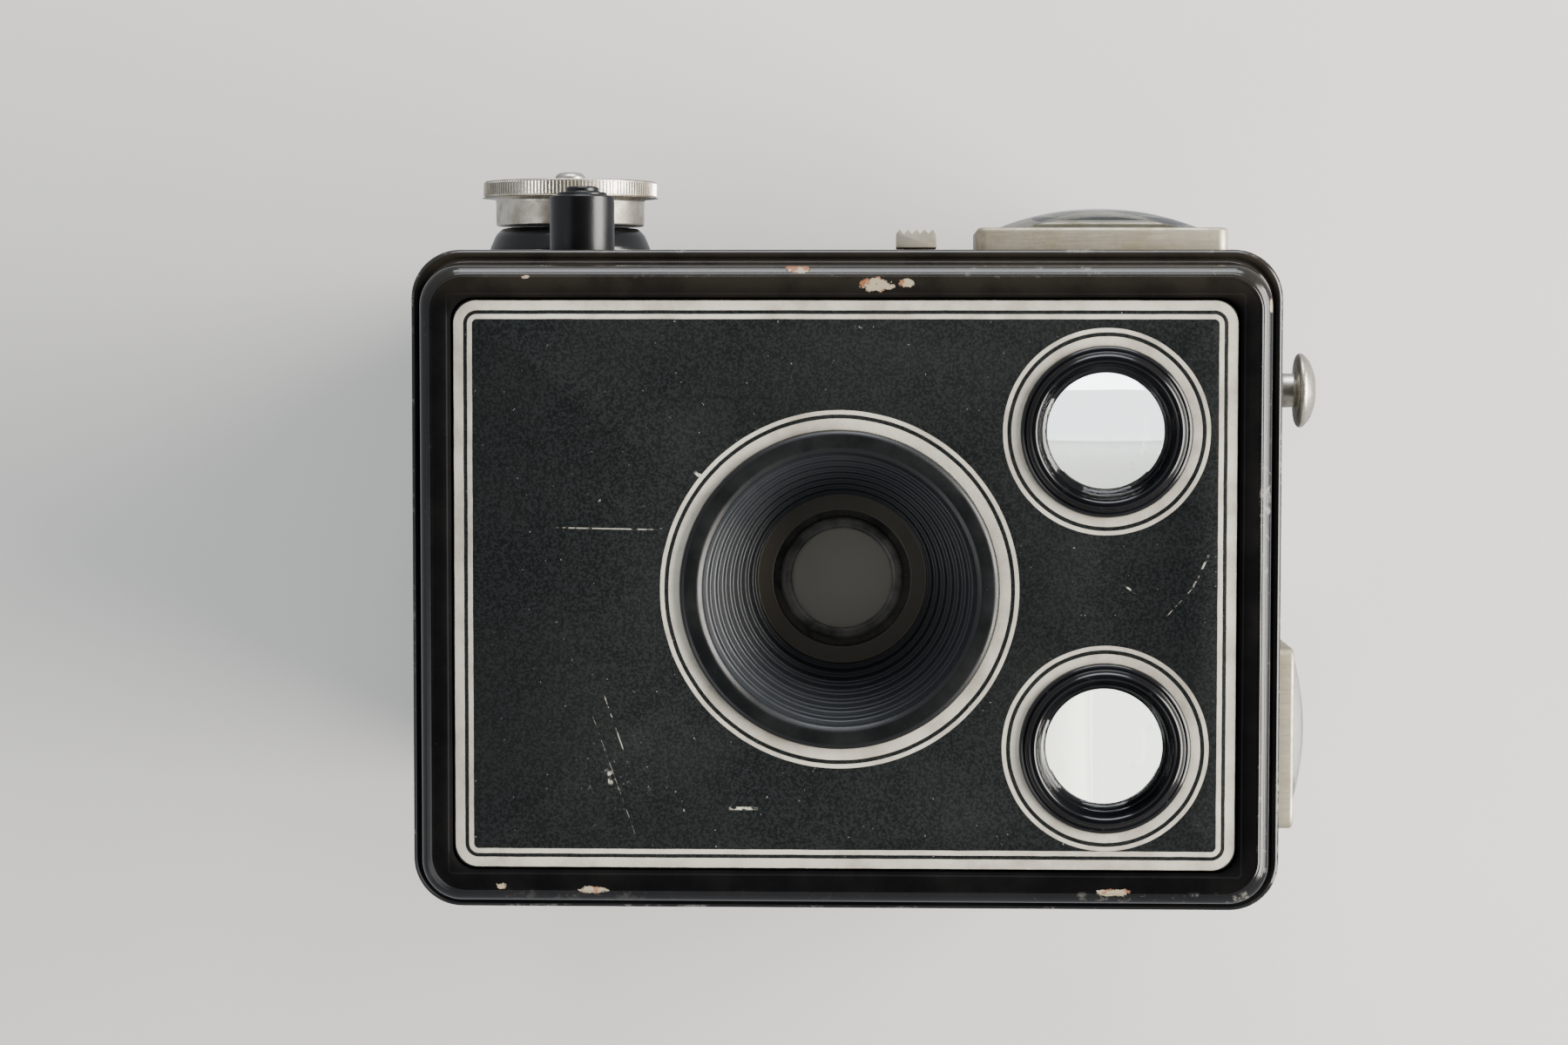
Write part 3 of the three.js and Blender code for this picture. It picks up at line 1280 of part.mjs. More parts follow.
// Catch: a bracket on the top, a pin and a sprung arm whose hook lies on the back's rim.
const top = BODY_HEIGHT;
const pivotZ = top + CATCH_PIVOT_HEIGHT;
const earX = CATCH_HALF_WIDTH + 0.4;
const ears = [-1, 1].map((s) => {
  const x0 = s < 0 ? -earX - SHEET : earX;
  return join(
    block(x0, x0 + SHEET, CATCH_PIVOT_DEPTH - 2, CATCH_PIVOT_DEPTH + 2, top + SEAT, pivotZ),
    barX(2, x0, x0 + SHEET, CATCH_PIVOT_DEPTH, pivotZ),
  );
});
const catchPinHole = barX(CATCH_PIN_RADIUS + SEAT, -earX - 2, earX + 2, CATCH_PIVOT_DEPTH, pivotZ);
const catchFoot = block(
  -earX - SHEET,
  earX + SHEET,
  CATCH_PIVOT_DEPTH - 7,
  CATCH_PIVOT_DEPTH - 1.4,
  top + SEAT,
  top + 0.6,
);
add('catch_bracket', cut(join(catchFoot, ...ears), catchPinHole), NICKEL);
add(
  'catch_pin',
  barX(CATCH_PIN_RADIUS, -earX - SHEET - 0.3, earX + SHEET + 0.3, CATCH_PIVOT_DEPTH, pivotZ),
  STEEL,
);

const armTop = pivotZ + 0.4;
const armUnder = armTop - CATCH_SHEET;
const hookDepth = (doorRimFront + DOOR_PLATE_BACK) / 2;
const hookTip = top + CLEAR;
const armLine = [
  [CATCH_PIVOT_DEPTH - 1.2, armUnder],
  [hookDepth - 3, armUnder],
  [hookDepth - 1, hookTip],
  [hookDepth + 1, hookTip],
  [hookDepth + 3, armUnder],
  [BODY_DEPTH - 3, armUnder],
  [BODY_DEPTH - 3 + CATCH_TAB * 0.6, armUnder + 2],
  [BODY_DEPTH - 3 + CATCH_TAB * 0.6, armTop + 2.2],
  [BODY_DEPTH - 4, armTop],
  [hookDepth + 2.4, armTop],
  [hookDepth + 0.8, hookTip + CATCH_SHEET],
  [hookDepth - 0.8, hookTip + CATCH_SHEET],
  [hookDepth - 2.4, armTop],
  [CATCH_PIVOT_DEPTH - 1.2, armTop],
];
add('back_catch', cut(
  join(
    plateX(armLine, -CATCH_HALF_WIDTH, CATCH_HALF_WIDTH),
    barX(1.7, -CATCH_HALF_WIDTH, CATCH_HALF_WIDTH, CATCH_PIVOT_DEPTH, pivotZ),
  ),
  barX(CATCH_PIN_RADIUS + RUNNING, -earX, earX, CATCH_PIVOT_DEPTH, pivotZ),
), NICKEL);

const group = new THREE.Group();
group.add(camera);
export default group;
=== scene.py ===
# %% [markdown]
# # A metal box camera, in cells
# The camera is a pressed steel box for 6 x 9 cm pictures: an enamelled front tray with a painted
# plate and a stepped lens cone, a grained covering round the body, nickelled fittings and a
# hinged back. The CAD frame gives every piece its place, and this script gives each one its
# finished shape and surface. Lengths are written in millimetres and made metres by one factor.

# %% Load the frame
import bmesh
import bpy
import math
from mathutils import Matrix, Vector


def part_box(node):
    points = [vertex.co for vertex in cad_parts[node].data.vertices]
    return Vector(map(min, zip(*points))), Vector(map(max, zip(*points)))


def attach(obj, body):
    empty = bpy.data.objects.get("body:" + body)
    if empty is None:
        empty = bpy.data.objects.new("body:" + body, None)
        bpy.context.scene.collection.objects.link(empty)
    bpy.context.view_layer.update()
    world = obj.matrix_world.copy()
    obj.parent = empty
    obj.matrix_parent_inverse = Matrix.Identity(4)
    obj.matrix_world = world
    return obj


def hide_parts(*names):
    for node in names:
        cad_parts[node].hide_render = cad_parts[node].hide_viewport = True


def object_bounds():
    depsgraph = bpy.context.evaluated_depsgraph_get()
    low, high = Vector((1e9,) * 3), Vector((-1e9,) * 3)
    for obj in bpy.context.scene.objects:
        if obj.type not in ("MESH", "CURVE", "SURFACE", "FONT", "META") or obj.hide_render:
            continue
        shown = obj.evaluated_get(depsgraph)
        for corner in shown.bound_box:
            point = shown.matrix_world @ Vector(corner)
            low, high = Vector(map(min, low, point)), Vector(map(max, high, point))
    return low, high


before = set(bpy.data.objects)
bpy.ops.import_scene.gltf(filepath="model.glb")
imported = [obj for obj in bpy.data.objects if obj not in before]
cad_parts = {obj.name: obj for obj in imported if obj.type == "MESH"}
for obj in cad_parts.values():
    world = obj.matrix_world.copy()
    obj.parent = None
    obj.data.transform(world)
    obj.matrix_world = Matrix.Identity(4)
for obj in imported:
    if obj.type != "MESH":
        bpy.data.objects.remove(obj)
cad_low, cad_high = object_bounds()
MM = 0.001


def span(node):
    """The two corners of a CAD node in millimetres."""
    low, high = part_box(node)
    return [v / MM for v in low], [v / MM for v in high]


def middle(node):
    low, high = span(node)
    return [(a + b) / 2 for a, b in zip(low, high)]


# %% [markdown]
# ## Where things are
# The front frame sets the outline, and its crest is the front of the camera. A place behind that
# crest is called a depth. The lens cone and the two finder bezels give the three centres that
# the painted rings run round.

# %% The main places
frame_low, frame_high = span("front_frame")
FRONT = frame_low[1]
WIDTH = frame_high[0] - frame_low[0]
HEIGHT = frame_high[2] - frame_low[2]
MID_X = (frame_low[0] + frame_high[0]) / 2
MID_Z = (frame_low[2] + frame_high[2]) / 2
FLANGE_BACK = frame_high[1] - FRONT
WALL = frame_high[0]
TOP = frame_high[2]
PLATE = span("face_plate")[0][1] - FRONT
CONE = middle("lens_cone")
SIDE_EYE = middle("side_finder_bezel")
TOP_EYE = middle("top_finder_bezel")
CORNER = 6.0
print("front", WIDTH, "x", HEIGHT, "mm, plate at depth", round(PLATE, 2))

# %% [markdown]
# ## Making pieces
# Every piece starts in a bmesh. When it is done, doubles are merged, the faces are turned
# outwards and the edges sharper than a limit are kept sharp, so that rolled edges shade smoothly
# and pressed ones stay crisp. The finished object sits at the origin and rides on a body.

# %% Finish a piece
finished = []


def add_object(name, data):
    made = bpy.data.objects.new(name, data)
    bpy.context.scene.collection.objects.link(made)
    return made


def shaped(bm, name, material):
    """An object in the scene from a bmesh, which is used up."""
    mesh = bpy.data.meshes.new(name)
    bm.to_mesh(mesh)
    bm.free()
    mesh.shade_smooth()
    mesh.materials.append(material)
    return add_object(name, mesh)


def finish_piece(bm, name, body, material, nodes=(), sharp=40, weld=0.004, flip=True):
    bmesh.ops.remove_doubles(bm, verts=bm.verts, dist=weld)
    if flip:
        bmesh.ops.recalc_face_normals(bm, faces=bm.faces)
    bmesh.ops.scale(bm, verts=bm.verts, vec=(MM, MM, MM))
    piece = shaped(bm, name, material)
    piece.data.set_sharp_from_angle(angle=math.radians(sharp))
    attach(piece, body)
    if nodes:
        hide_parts(*nodes)
    finished.append(piece)
    return piece


# %% [markdown]
# Turned parts are drawn as half a section, radius against height, and spun. On the real ones no
# corner is perfectly sharp, so the drawn line gets its corners rounded first. A rounded corner
# catches a thin line of light, and this is what makes a turned part look turned.

# %% Turn a profile
def soften(points, radius, steps=4):
    """The same line with its inner corners rounded."""
    line = [Vector(points[0])]
    for before, corner, after in zip(points, points[1:], points[2:]):
        before, corner, after = Vector(before), Vector(corner), Vector(after)
        reach = min(radius, (before - corner).length * 0.48, (after - corner).length * 0.48)
        start = corner + (before - corner).normalized() * reach
        end = corner + (after - corner).normalized() * reach
        for i in range(steps + 1):
            t = i / steps
            line.append(start.lerp(corner, t).lerp(corner.lerp(end, t), t))
    line.append(Vector(points[-1]))
    return line


def spun(profile, sides=128, sweep=math.tau):
    """A turned solid round Z from a line of (radius, height) points."""
    bm = bmesh.new()
    verts = [bm.verts.new((p[0], 0, p[1])) for p in profile]
    edges = [bm.edges.new(pair) for pair in zip(verts, verts[1:])]
    bmesh.ops.spin(
        bm, geom=verts + edges, cent=(0, 0, 0), axis=(0, 0, 1), angle=sweep, steps=sides,
        use_merge=True,
    )
    bmesh.ops.remove_doubles(bm, verts=bm.verts, dist=0.002)
    return bm


FACING_FRONT = Matrix.Rotation(math.radians(-90), 4, "X")
FACING_SIDE = Matrix.Rotation(math.radians(-90), 4, "Y")
FACING_TOP = Matrix.Identity(4)
FACING_BACK = Matrix.Rotation(math.radians(90), 4, "X")


def put(bm, turn, x, y, z):
    """Turn a bmesh made about the origin and carry it to its place."""
    bmesh.ops.transform(bm, matrix=Matrix.Translation((x, y, z)) @ turn, verts=bm.verts)
    return bm


# %% [markdown]
# Pressed parts are drawn as loops. One loop is a rectangle with rounded corners, made from a
# single square whose corners are bevelled. A row of loops, each a little further in or back, is
# bridged into a smooth pressing. This is close to how the press draws the metal, and it keeps the
# corners evenly round, which insetting one face wouldn't where the corner radius runs out.

# %% Bridge rounded loops
def rounded_loop(bm, width, height, radius, level, segments=12):
    """A rounded rectangle in the XY plane at a level. Returns its edges."""
    before = set(bm.edges)
    place = Matrix.Translation((0, 0, level)) @ Matrix.Diagonal((width, height, 1, 1))
    square = bmesh.ops.create_grid(bm, x_segments=1, y_segments=1, size=0.5, matrix=place)
    bmesh.ops.bevel(
        bm, geom=square["verts"], offset=radius, segments=segments, profile=0.5,
        affect="VERTICES", material=-1,
    )
    edges = [e for e in bm.edges if e not in before]
    faces = {f for e in edges for f in e.link_faces}
    bmesh.ops.delete(bm, geom=list(faces), context="FACES_ONLY")
    return edges


def loft(loops, closed=False, caps=False, segments=12):
    """A skin over loops of (width, height, radius, level).

    The bridge finds its way from the line between two loops' middles, so two neighbours never
    lie in quite the same plane.
    """
    bm = bmesh.new()
    loops = [list(loop) for loop in loops]
    for i in range(0 if closed else 1, len(loops)):
        if abs(loops[i][3] - loops[i - 1][3]) < 0.008:
            loops[i][3] += 0.01 if i else -0.01
    rings = [rounded_loop(bm, *loop, segments) for loop in loops]
    pairs = list(zip(rings, rings[1:])) + ([(rings[-1], rings[0])] if closed else [])
    for one, other in pairs:
        bmesh.ops.bridge_loops(bm, edges=one + other)
    if caps:
        for ring in (rings[0], rings[-1]):
            bmesh.ops.contextual_create(bm, geom=ring)
    return bm


# Further out than any piece.
FAR = 500


def slice_at(bm, axis, place, **how):
    """Cut across every face at a place along an axis."""
    across = Matrix.Identity(3)[axis]
    geom = bm.verts[:] + bm.edges[:] + bm.faces[:]
    return bmesh.ops.bisect_plane(bm, geom=geom, plane_co=across * place, dist=1e-5, **how)


def cut_away(bm, box):
    """Cut a box-shaped opening out of a skin. box is ((x0, x1), (y0, y1), (z0, z1))."""
    for axis in range(3):
        for place in box[axis]:
            if abs(place) < FAR:
                slice_at(bm, axis, place, plane_no=Matrix.Identity(3)[axis])
    inside = []
    for face in bm.faces:
        c = face.calc_center_median()
        if all(box[i][0] < c[i] < box[i][1] for i in range(3)):
            inside.append(face)
    bmesh.ops.delete(bm, geom=inside, context="FACES")
    return len(inside)


def keen_edges(bm, angle):
    """The edges whose two faces meet at more than an angle in radians."""
    return [e for e in bm.edges if len(e.link_faces) == 2 and e.calc_face_angle(0) > angle]


def break_edges(bm, edges, width, **how):
    """Bevel edges a little, as a file or a tumbling drum does."""
    bmesh.ops.bevel(bm, geom=edges, offset=width, segments=2, profile=0.5, affect="EDGES",
                    material=-1, **how)


def thicken(bm, thickness):
    """Give a skin its sheet thickness, inwards."""
    bmesh.ops.remove_doubles(bm, verts=bm.verts, dist=0.004)
    bmesh.ops.recalc_face_normals(bm, faces=bm.faces)
    bmesh.ops.solidify(bm, geom=bm.faces[:], thickness=thickness)
    return bm


# %% [markdown]
# Small bent and cut fittings have the right shape in the CAD already and only lack broken edges.
# A copy of the CAD mesh is merged, its flat faces are joined, and every sharp edge is bevelled by
# a tenth of a millimetre or so. The CAD node itself stays as it was.

# %% Break the edges of a CAD copy
def eased_copy(cad, body, material, width):
    """A piece with the shape of a CAD node and broken edges."""
    bm = bmesh.new()
    bm.from_mesh(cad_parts[cad].data)
    bmesh.ops.scale(bm, verts=bm.verts, vec=(1 / MM, 1 / MM, 1 / MM))
    bmesh.ops.remove_doubles(bm, verts=bm.verts, dist=0.002)
    bmesh.ops.dissolve_limit(bm, angle_limit=math.radians(1), verts=bm.verts[:],
                             edges=bm.edges[:])
    break_edges(bm, keen_edges(bm, math.radians(35)), width, clamp_overlap=True)
    return finish_piece(bm, cad + "_eased", body, material, [cad], 50, 0.0005, False)


# %% [markdown]
# ## Nodes for the finishes
# All finishes are procedural. One function turns an sRGB colour into the linear one that shaders
# need, and another adds a node with its settings and links. Patterns read Object coordinates in
# metres, so a scale is one divided by the size of a grain in metres.

# %% Node helpers
def linear(code):
    """An sRGB hex colour as linear RGBA."""
    channels = [int(code[i:i + 2], 16) / 255 for i in (0, 2, 4)]
    return [c / 12.92 if c <= 0.04045 else ((c + 0.055) / 1.055) ** 2.4 for c in channels] + [1]


def feed(target, inputs):
    """Give a node's inputs, by name or number, a link or a value each."""
    for key, value in inputs.items():
        if isinstance(value, bpy.types.NodeSocket):
            target.id_data.links.new(value, target.inputs[key])
        else:
            target.inputs[key].default_value = value


# What a kind in capitals stands for. Any other one in capitals is an operation of a Math node.
MODES = {"SMOOTHSTEP": ("MapRange", "interpolation_type"), "RGBA": ("Mix", "data_type"),
         "LENGTH": ("VectorMath", "operation")}


def node(tree, kind, *values, out=None, **named):
    """Add a node and return one of its outputs, the first in use if none is named.

    kind is a node's type, or the mode of one in capitals. The values, numbers or links, go to
    the inputs in use in their order. What is named goes to the input or setting of that name.
    """
    mode = kind
    if kind.isupper():
        kind, setting = MODES.get(mode, ("Math", "operation"))
    made = tree.nodes.new("ShaderNode" + kind)
    if mode.isupper():
        setattr(made, setting, mode)
    for key in set(named) - set(made.inputs.keys()):
        setattr(made, key, named.pop(key))
    used = [i for i, socket in enumerate(made.inputs) if socket.enabled]
    feed(made, dict(zip(used, values)) | named)
    return made.outputs[out] if out else next(s for s in made.outputs if s.enabled)


def blank(name):
    """A new material with a Principled shader. Returns the material, its tree and the shader."""
    material = bpy.data.materials.new(name)
    material.use_nodes = True
    tree = material.node_tree
    return material, tree, tree.nodes["Principled BSDF"]


def grain(tree, size_mm, detail=3, rough=0.6):
    """Noise in Object coordinates whose lumps are about size_mm across, 0 to 1 round 0.5."""
    place = node(tree, "TexCoord", out="Object")
    return node(tree, "TexNoise", Vector=place, Scale=1 / (size_mm * MM), Detail=detail,
                Roughness=rough)


def coat(material, colour, rough, height, relief_mm):
    """Give a material its colour, its roughness and a height that stands out by relief_mm."""
    tree = material.node_tree
    normal = node(tree, "Bump", Height=height, Distance=relief_mm * MM)
    feed(tree.nodes["Principled BSDF"],
         {"Base Color": colour, "Roughness": rough, "Normal": normal})
    return material


# %% [markdown]
# Painted lines and worn places follow the outline of the camera, so their masks are distances.
# The first helper measures how far a point lies inside a rounded rectangle seen from the front,
# and the second how far it lies from a centre. Both work in millimetres.

# %% Distances on the front
def front_place(tree):
    """Object coordinates in millimetres."""
    place = node(tree, "TexCoord", out="Object")
    parts = node(tree, "SeparateXYZ", place).node.outputs
    return [node(tree, "MULTIPLY", part, 1 / MM) for part in parts]


def inside_outline(tree, x, z, inset, radius):
    """Distance in mm inside the outline drawn in by an inset, negative outside it."""
    wide, high = WIDTH / 2 - inset - radius, HEIGHT / 2 - inset - radius
    over = []
    for value, centre, half in ((x, MID_X, wide), (z, MID_Z, high)):
        away = node(tree, "ABSOLUTE", node(tree, "SUBTRACT", value, centre))
        over.append(node(tree, "SUBTRACT", away, half))
    corner = node(tree, "CombineXYZ", *[node(tree, "MAXIMUM", one, 0.0) for one in over])
    length = node(tree, "LENGTH", corner)
    inner = node(tree, "MINIMUM", node(tree, "MAXIMUM", over[0], over[1]), 0.0)
    outside = node(tree, "ADD", length, inner)
    return node(tree, "SUBTRACT", radius, outside)


def away_from(tree, x, z, centre):
    """Distance in mm from a centre, seen from the front."""
    offset = node(tree, "CombineXYZ", node(tree, "SUBTRACT", x, centre[0]),
                  node(tree, "SUBTRACT", z, centre[2]))
    return node(tree, "LENGTH", offset)


def band(tree, distance, low, high, soft=0.06):
    """1 where a distance lies between low and high."""
    rise = node(tree, "SMOOTHSTEP", distance, low - soft, low + soft)
    fall = node(tree, "SMOOTHSTEP", distance, high - soft, high + soft, 1.0, 0.0)
    return node(tree, "MULTIPLY", rise, fall)


# %% [markdown]
# ## Black stoving enamel
# The frame, post, boss and bezels are dipped in black enamel and baked. It flows into a deep
# gloss with a faint orange peel, and rubs through to grey metal in scattered specks. The wear is
# noise that shows wherever it is strong enough.

# %% Enamel
def stoved_enamel(name, tint="0b0b0c", gloss=0.16, chips=0.0):
    material, tree, _ = blank(name)
    dust = node(tree, "SMOOTHSTEP", grain(tree, 1.3, 6, 0.7), 0.60, 0.78)
    smear = grain(tree, 9.0, 3)
    body = node(tree, "RGBA", node(tree, "SMOOTHSTEP", smear, 0.3, 0.8, 0, 0.5), linear(tint),
                linear("15161a"))
    dusty = node(tree, "RGBA", node(tree, "MULTIPLY", dust, 0.10), body, linear("8b8f93"))
    specks = node(tree, "SMOOTHSTEP", grain(tree, 0.9, 4, 0.8), 0.80 - chips, 0.84 - chips)
    bare = node(tree, "RGBA", specks, dusty, linear("8d8579"))
    rough = node(tree, "SMOOTHSTEP", smear, 0.25, 0.75, gloss, gloss + 0.12)
    rough = node(tree, "ADD", rough, node(tree, "MULTIPLY", specks, 0.3))
    return coat(material, bare, rough, grain(tree, 2.2, 2), 0.012)


ENAMEL = stoved_enamel("black_stoving_enamel")
POST_ENAMEL = stoved_enamel("black_enamelled_brass", gloss=0.26, chips=0.03)
INNER_ENAMEL = stoved_enamel("black_japanned_steel", tint="101012", gloss=0.3)

# %% [markdown]
# The frame has its own version. Its rolled bead and its shoulder have been rubbed for decades:
# the bead shows a thin bright line, the shoulder pale scuffs, and the band a few chips with rust
# at their rims. The shoulder's scuffs are also a painted highlight: they are painted stronger
# towards the top side, where the window light falls. Distances from the outline say where each
# of those lies.

# %% Worn frame enamel with a painted highlight
# Each chip is (x, z, half its breadth, half its length).
CHIPS = [(-38.0, 47.6, 0.5, 1.6), (-36.1, 57.0, 0.8, 2.0), (-36.3, 60.6, 0.5, 1.0),
         (36.9, 23.0, 0.45, 1.7), (36.9, 85.8, 0.45, 2.0), (-33.6, 104.4, 1.1, 0.45),
         (-37.0, 15.0, 0.25, 0.5), (36.5, 12.0, 0.4, 0.7), (-38.5, 70.0, 0.2, 0.8)]


def worn_frame_enamel_with_highlight():
    material, tree, shader = blank("worn_black_frame_enamel_with_highlight")
    x, y, z = front_place(tree)
    edge = inside_outline(tree, x, z, 0, CORNER)
    depth = node(tree, "SUBTRACT", y, FRONT)
    smear = grain(tree, 7.0, 4)
    base = node(tree, "RGBA", node(tree, "SMOOTHSTEP", smear, 0.3, 0.8, 0, 0.6), linear("0a0a0b"),
                linear("181716"))
    scuff = grain(tree, 1.6, 8, 0.75)
    patches = grain(tree, 13.0, 3)
    bead = band(tree, edge, -0.1, 0.35, 0.15)
    wear = node(tree, "ADD", scuff, node(tree, "MULTIPLY", patches, 0.9))
    bead_wear = node(tree, "MULTIPLY", bead, node(tree, "SMOOTHSTEP", wear, 1.00, 1.16))
    # Painted highlight: the shoulder's pale scuffs are painted stronger towards the top side, where
    # the window light falls, so they stand in for its shine as well as for wear.
    shoulder = node(tree, "MULTIPLY", band(tree, edge, 2.2, 3.5, 0.3),
                    node(tree, "SMOOTHSTEP", z, MID_Z, TOP, 0.2, 1.0))
    wear = node(tree, "ADD", scuff, node(tree, "MULTIPLY", patches, 0.7))
    shoulder_wear_and_highlight = node(tree, "MULTIPLY", shoulder, node(tree, "SMOOTHSTEP", wear, 0.92, 1.06))
    rubbed_and_highlight = node(tree, "MAXIMUM", bead_wear, shoulder_wear_and_highlight)
    # The enamel is painted lighter and brownish along the side of the controls, fading within 8 mm.
    controls_side = node(tree, "SMOOTHSTEP", x, -MID_X - WIDTH / 2 + 1.5, -MID_X - WIDTH / 2 + 8, 1.0, 0.0)
    brown = node(tree, "MULTIPLY", controls_side, node(tree, "SMOOTHSTEP", smear, 0.3, 0.6, 0.55, 1.0))
    base = node(tree, "RGBA", brown, base, linear("2c2822"))
    # The pale tone is bare metal on the bead, and on the top shoulder also a painted highlight.
    bare = node(tree, "RGBA", grain(tree, 0.8, 4), linear("6f6a63"), linear("b4b1aa"))
    worn = node(tree, "RGBA", node(tree, "MULTIPLY", rubbed_and_highlight, 0.45), base, bare)
    ragged = node(tree, "SUBTRACT", grain(tree, 0.9, 6, 0.7), 0.5)
    chip = 0.0
    for place_x, place_z, half_x, half_z in CHIPS:
        across = node(tree, "DIVIDE", node(tree, "SUBTRACT", x, place_x), half_x)
        along = node(tree, "DIVIDE", node(tree, "SUBTRACT", z, place_z), half_z)
        reach = node(tree, "ADD", node(tree, "POWER", across, 2.0), node(tree, "POWER", along, 2.0))
        uneven = node(tree, "ADD", reach, node(tree, "MULTIPLY", ragged, 4.5))
        chip = node(tree, "MAXIMUM", chip, node(tree, "SMOOTHSTEP", uneven, 0.75, 1.0, 1.0, 0.0))
    specks = node(tree, "SMOOTHSTEP", grain(tree, 0.7, 5, 0.8), 0.72, 0.75)
    chip = node(tree, "MAXIMUM", chip, node(tree, "MULTIPLY", specks, band(tree, edge, 2.2, 5.6)))
    chip = node(tree, "MULTIPLY", chip, node(tree, "SMOOTHSTEP", depth, 0.9, 1.5, 1.0, 0.0))
    rust = node(tree, "RGBA", node(tree, "SMOOTHSTEP", grain(tree, 1.4, 5), 0.48, 0.56),
                linear("a5987f"), linear("8a5733"))
    chipped = node(tree, "RGBA", chip, worn, rust)
    rough = node(tree, "ADD", node(tree, "SMOOTHSTEP", smear, 0.2, 0.8, 0.10, 0.2),
                 node(tree, "MULTIPLY", node(tree, "MAXIMUM", rubbed_and_highlight, chip), 0.3))
    # Grime fills the recess's wall, so the stripes aren't mirrored in it.
    grime = node(tree, "SMOOTHSTEP", edge, 5.3, 5.7)
    rough = node(tree, "ADD", rough, node(tree, "MULTIPLY", grime, 0.6))
    feed(shader, {"Specular IOR Level": node(tree, "SMOOTHSTEP", grime, 0, 1, 0.5, 0.02)})
    relief = node(tree, "SUBTRACT", grain(tree, 2.4, 2), node(tree, "MULTIPLY", chip, 2.0))
    return coat(material, chipped, rough, relief, 0.014)


FRAME_ENAMEL = worn_frame_enamel_with_highlight()

# %% [markdown]
# ## The painted front plate
# The plate is steel with a fine wrinkled charcoal paint, and cream pinstripes printed over it: a
# broad line with a thin one inside it round the edge, and a thin line with a broad one inside it
# round the cone and round each finder. The stripes are drawn from distances. Where the noise is
# strong they are rubbed thin, and there are fine scratches and a dusty patch near the bottom.

# %% Plate paint with pinstripes
# Each pair is a centre and the radii of the thin line and of the broad one.
RINGS = [
    (CONE, (21.08, 21.58), (19.25, 20.58)),
    (SIDE_EYE, (11.9, 12.4), (10.3, 11.4)),
    (TOP_EYE, (11.9, 12.4), (10.3, 11.4)),
]

# Each scratch is (start, end, width, strength), with its ends as (x, z).
SCRATCHES = [
    ((-6.9, 18.8), (-6.7, 30.3), 0.08, 0.5), ((-4.2, 97.1), (0.2, 95.0), 0.10, 0.8),
    ((0.2, 95.0), (3.4, 92.1), 0.05, 0.6), ((-0.1, 86.9), (0.7, 88.0), 0.10, 0.9),
    ((13.5, 24.4), (19.8, 26.6), 0.06, 0.6), ((22.7, 25.0), (24.0, 25.1), 0.26, 1.0),
    ((27.0, 39.6), (27.0, 42.7), 0.18, 1.0), ((-13.6, 35.4), (-13.0, 36.2), 0.22, 1.0),
    ((16.0, 23.0), (30.0, 28.0), 0.04, 0.3), ((-25.0, 80.0), (-20.0, 82.0), 0.05, 0.4),
]


def scratch(tree, x, z, start, end, width):
    """A thin line between two places, broken up by noise."""
    sx, sz = start
    ex, ez = end
    length = math.hypot(ex - sx, ez - sz)
    ux, uz = (ex - sx) / length, (ez - sz) / length
    dx, dz = node(tree, "SUBTRACT", x, sx), node(tree, "SUBTRACT", z, sz)
    along = node(tree, "ADD", node(tree, "MULTIPLY", dx, ux), node(tree, "MULTIPLY", dz, uz))
    across = node(tree, "ABSOLUTE",
                  node(tree, "SUBTRACT", node(tree, "MULTIPLY", dx, uz),
                       node(tree, "MULTIPLY", dz, ux)))
    line = node(tree, "SMOOTHSTEP", across, width * 0.5, width * 1.4, 1.0, 0.0)
    return node(tree, "MULTIPLY", line, band(tree, along, 0, length, 0.3))


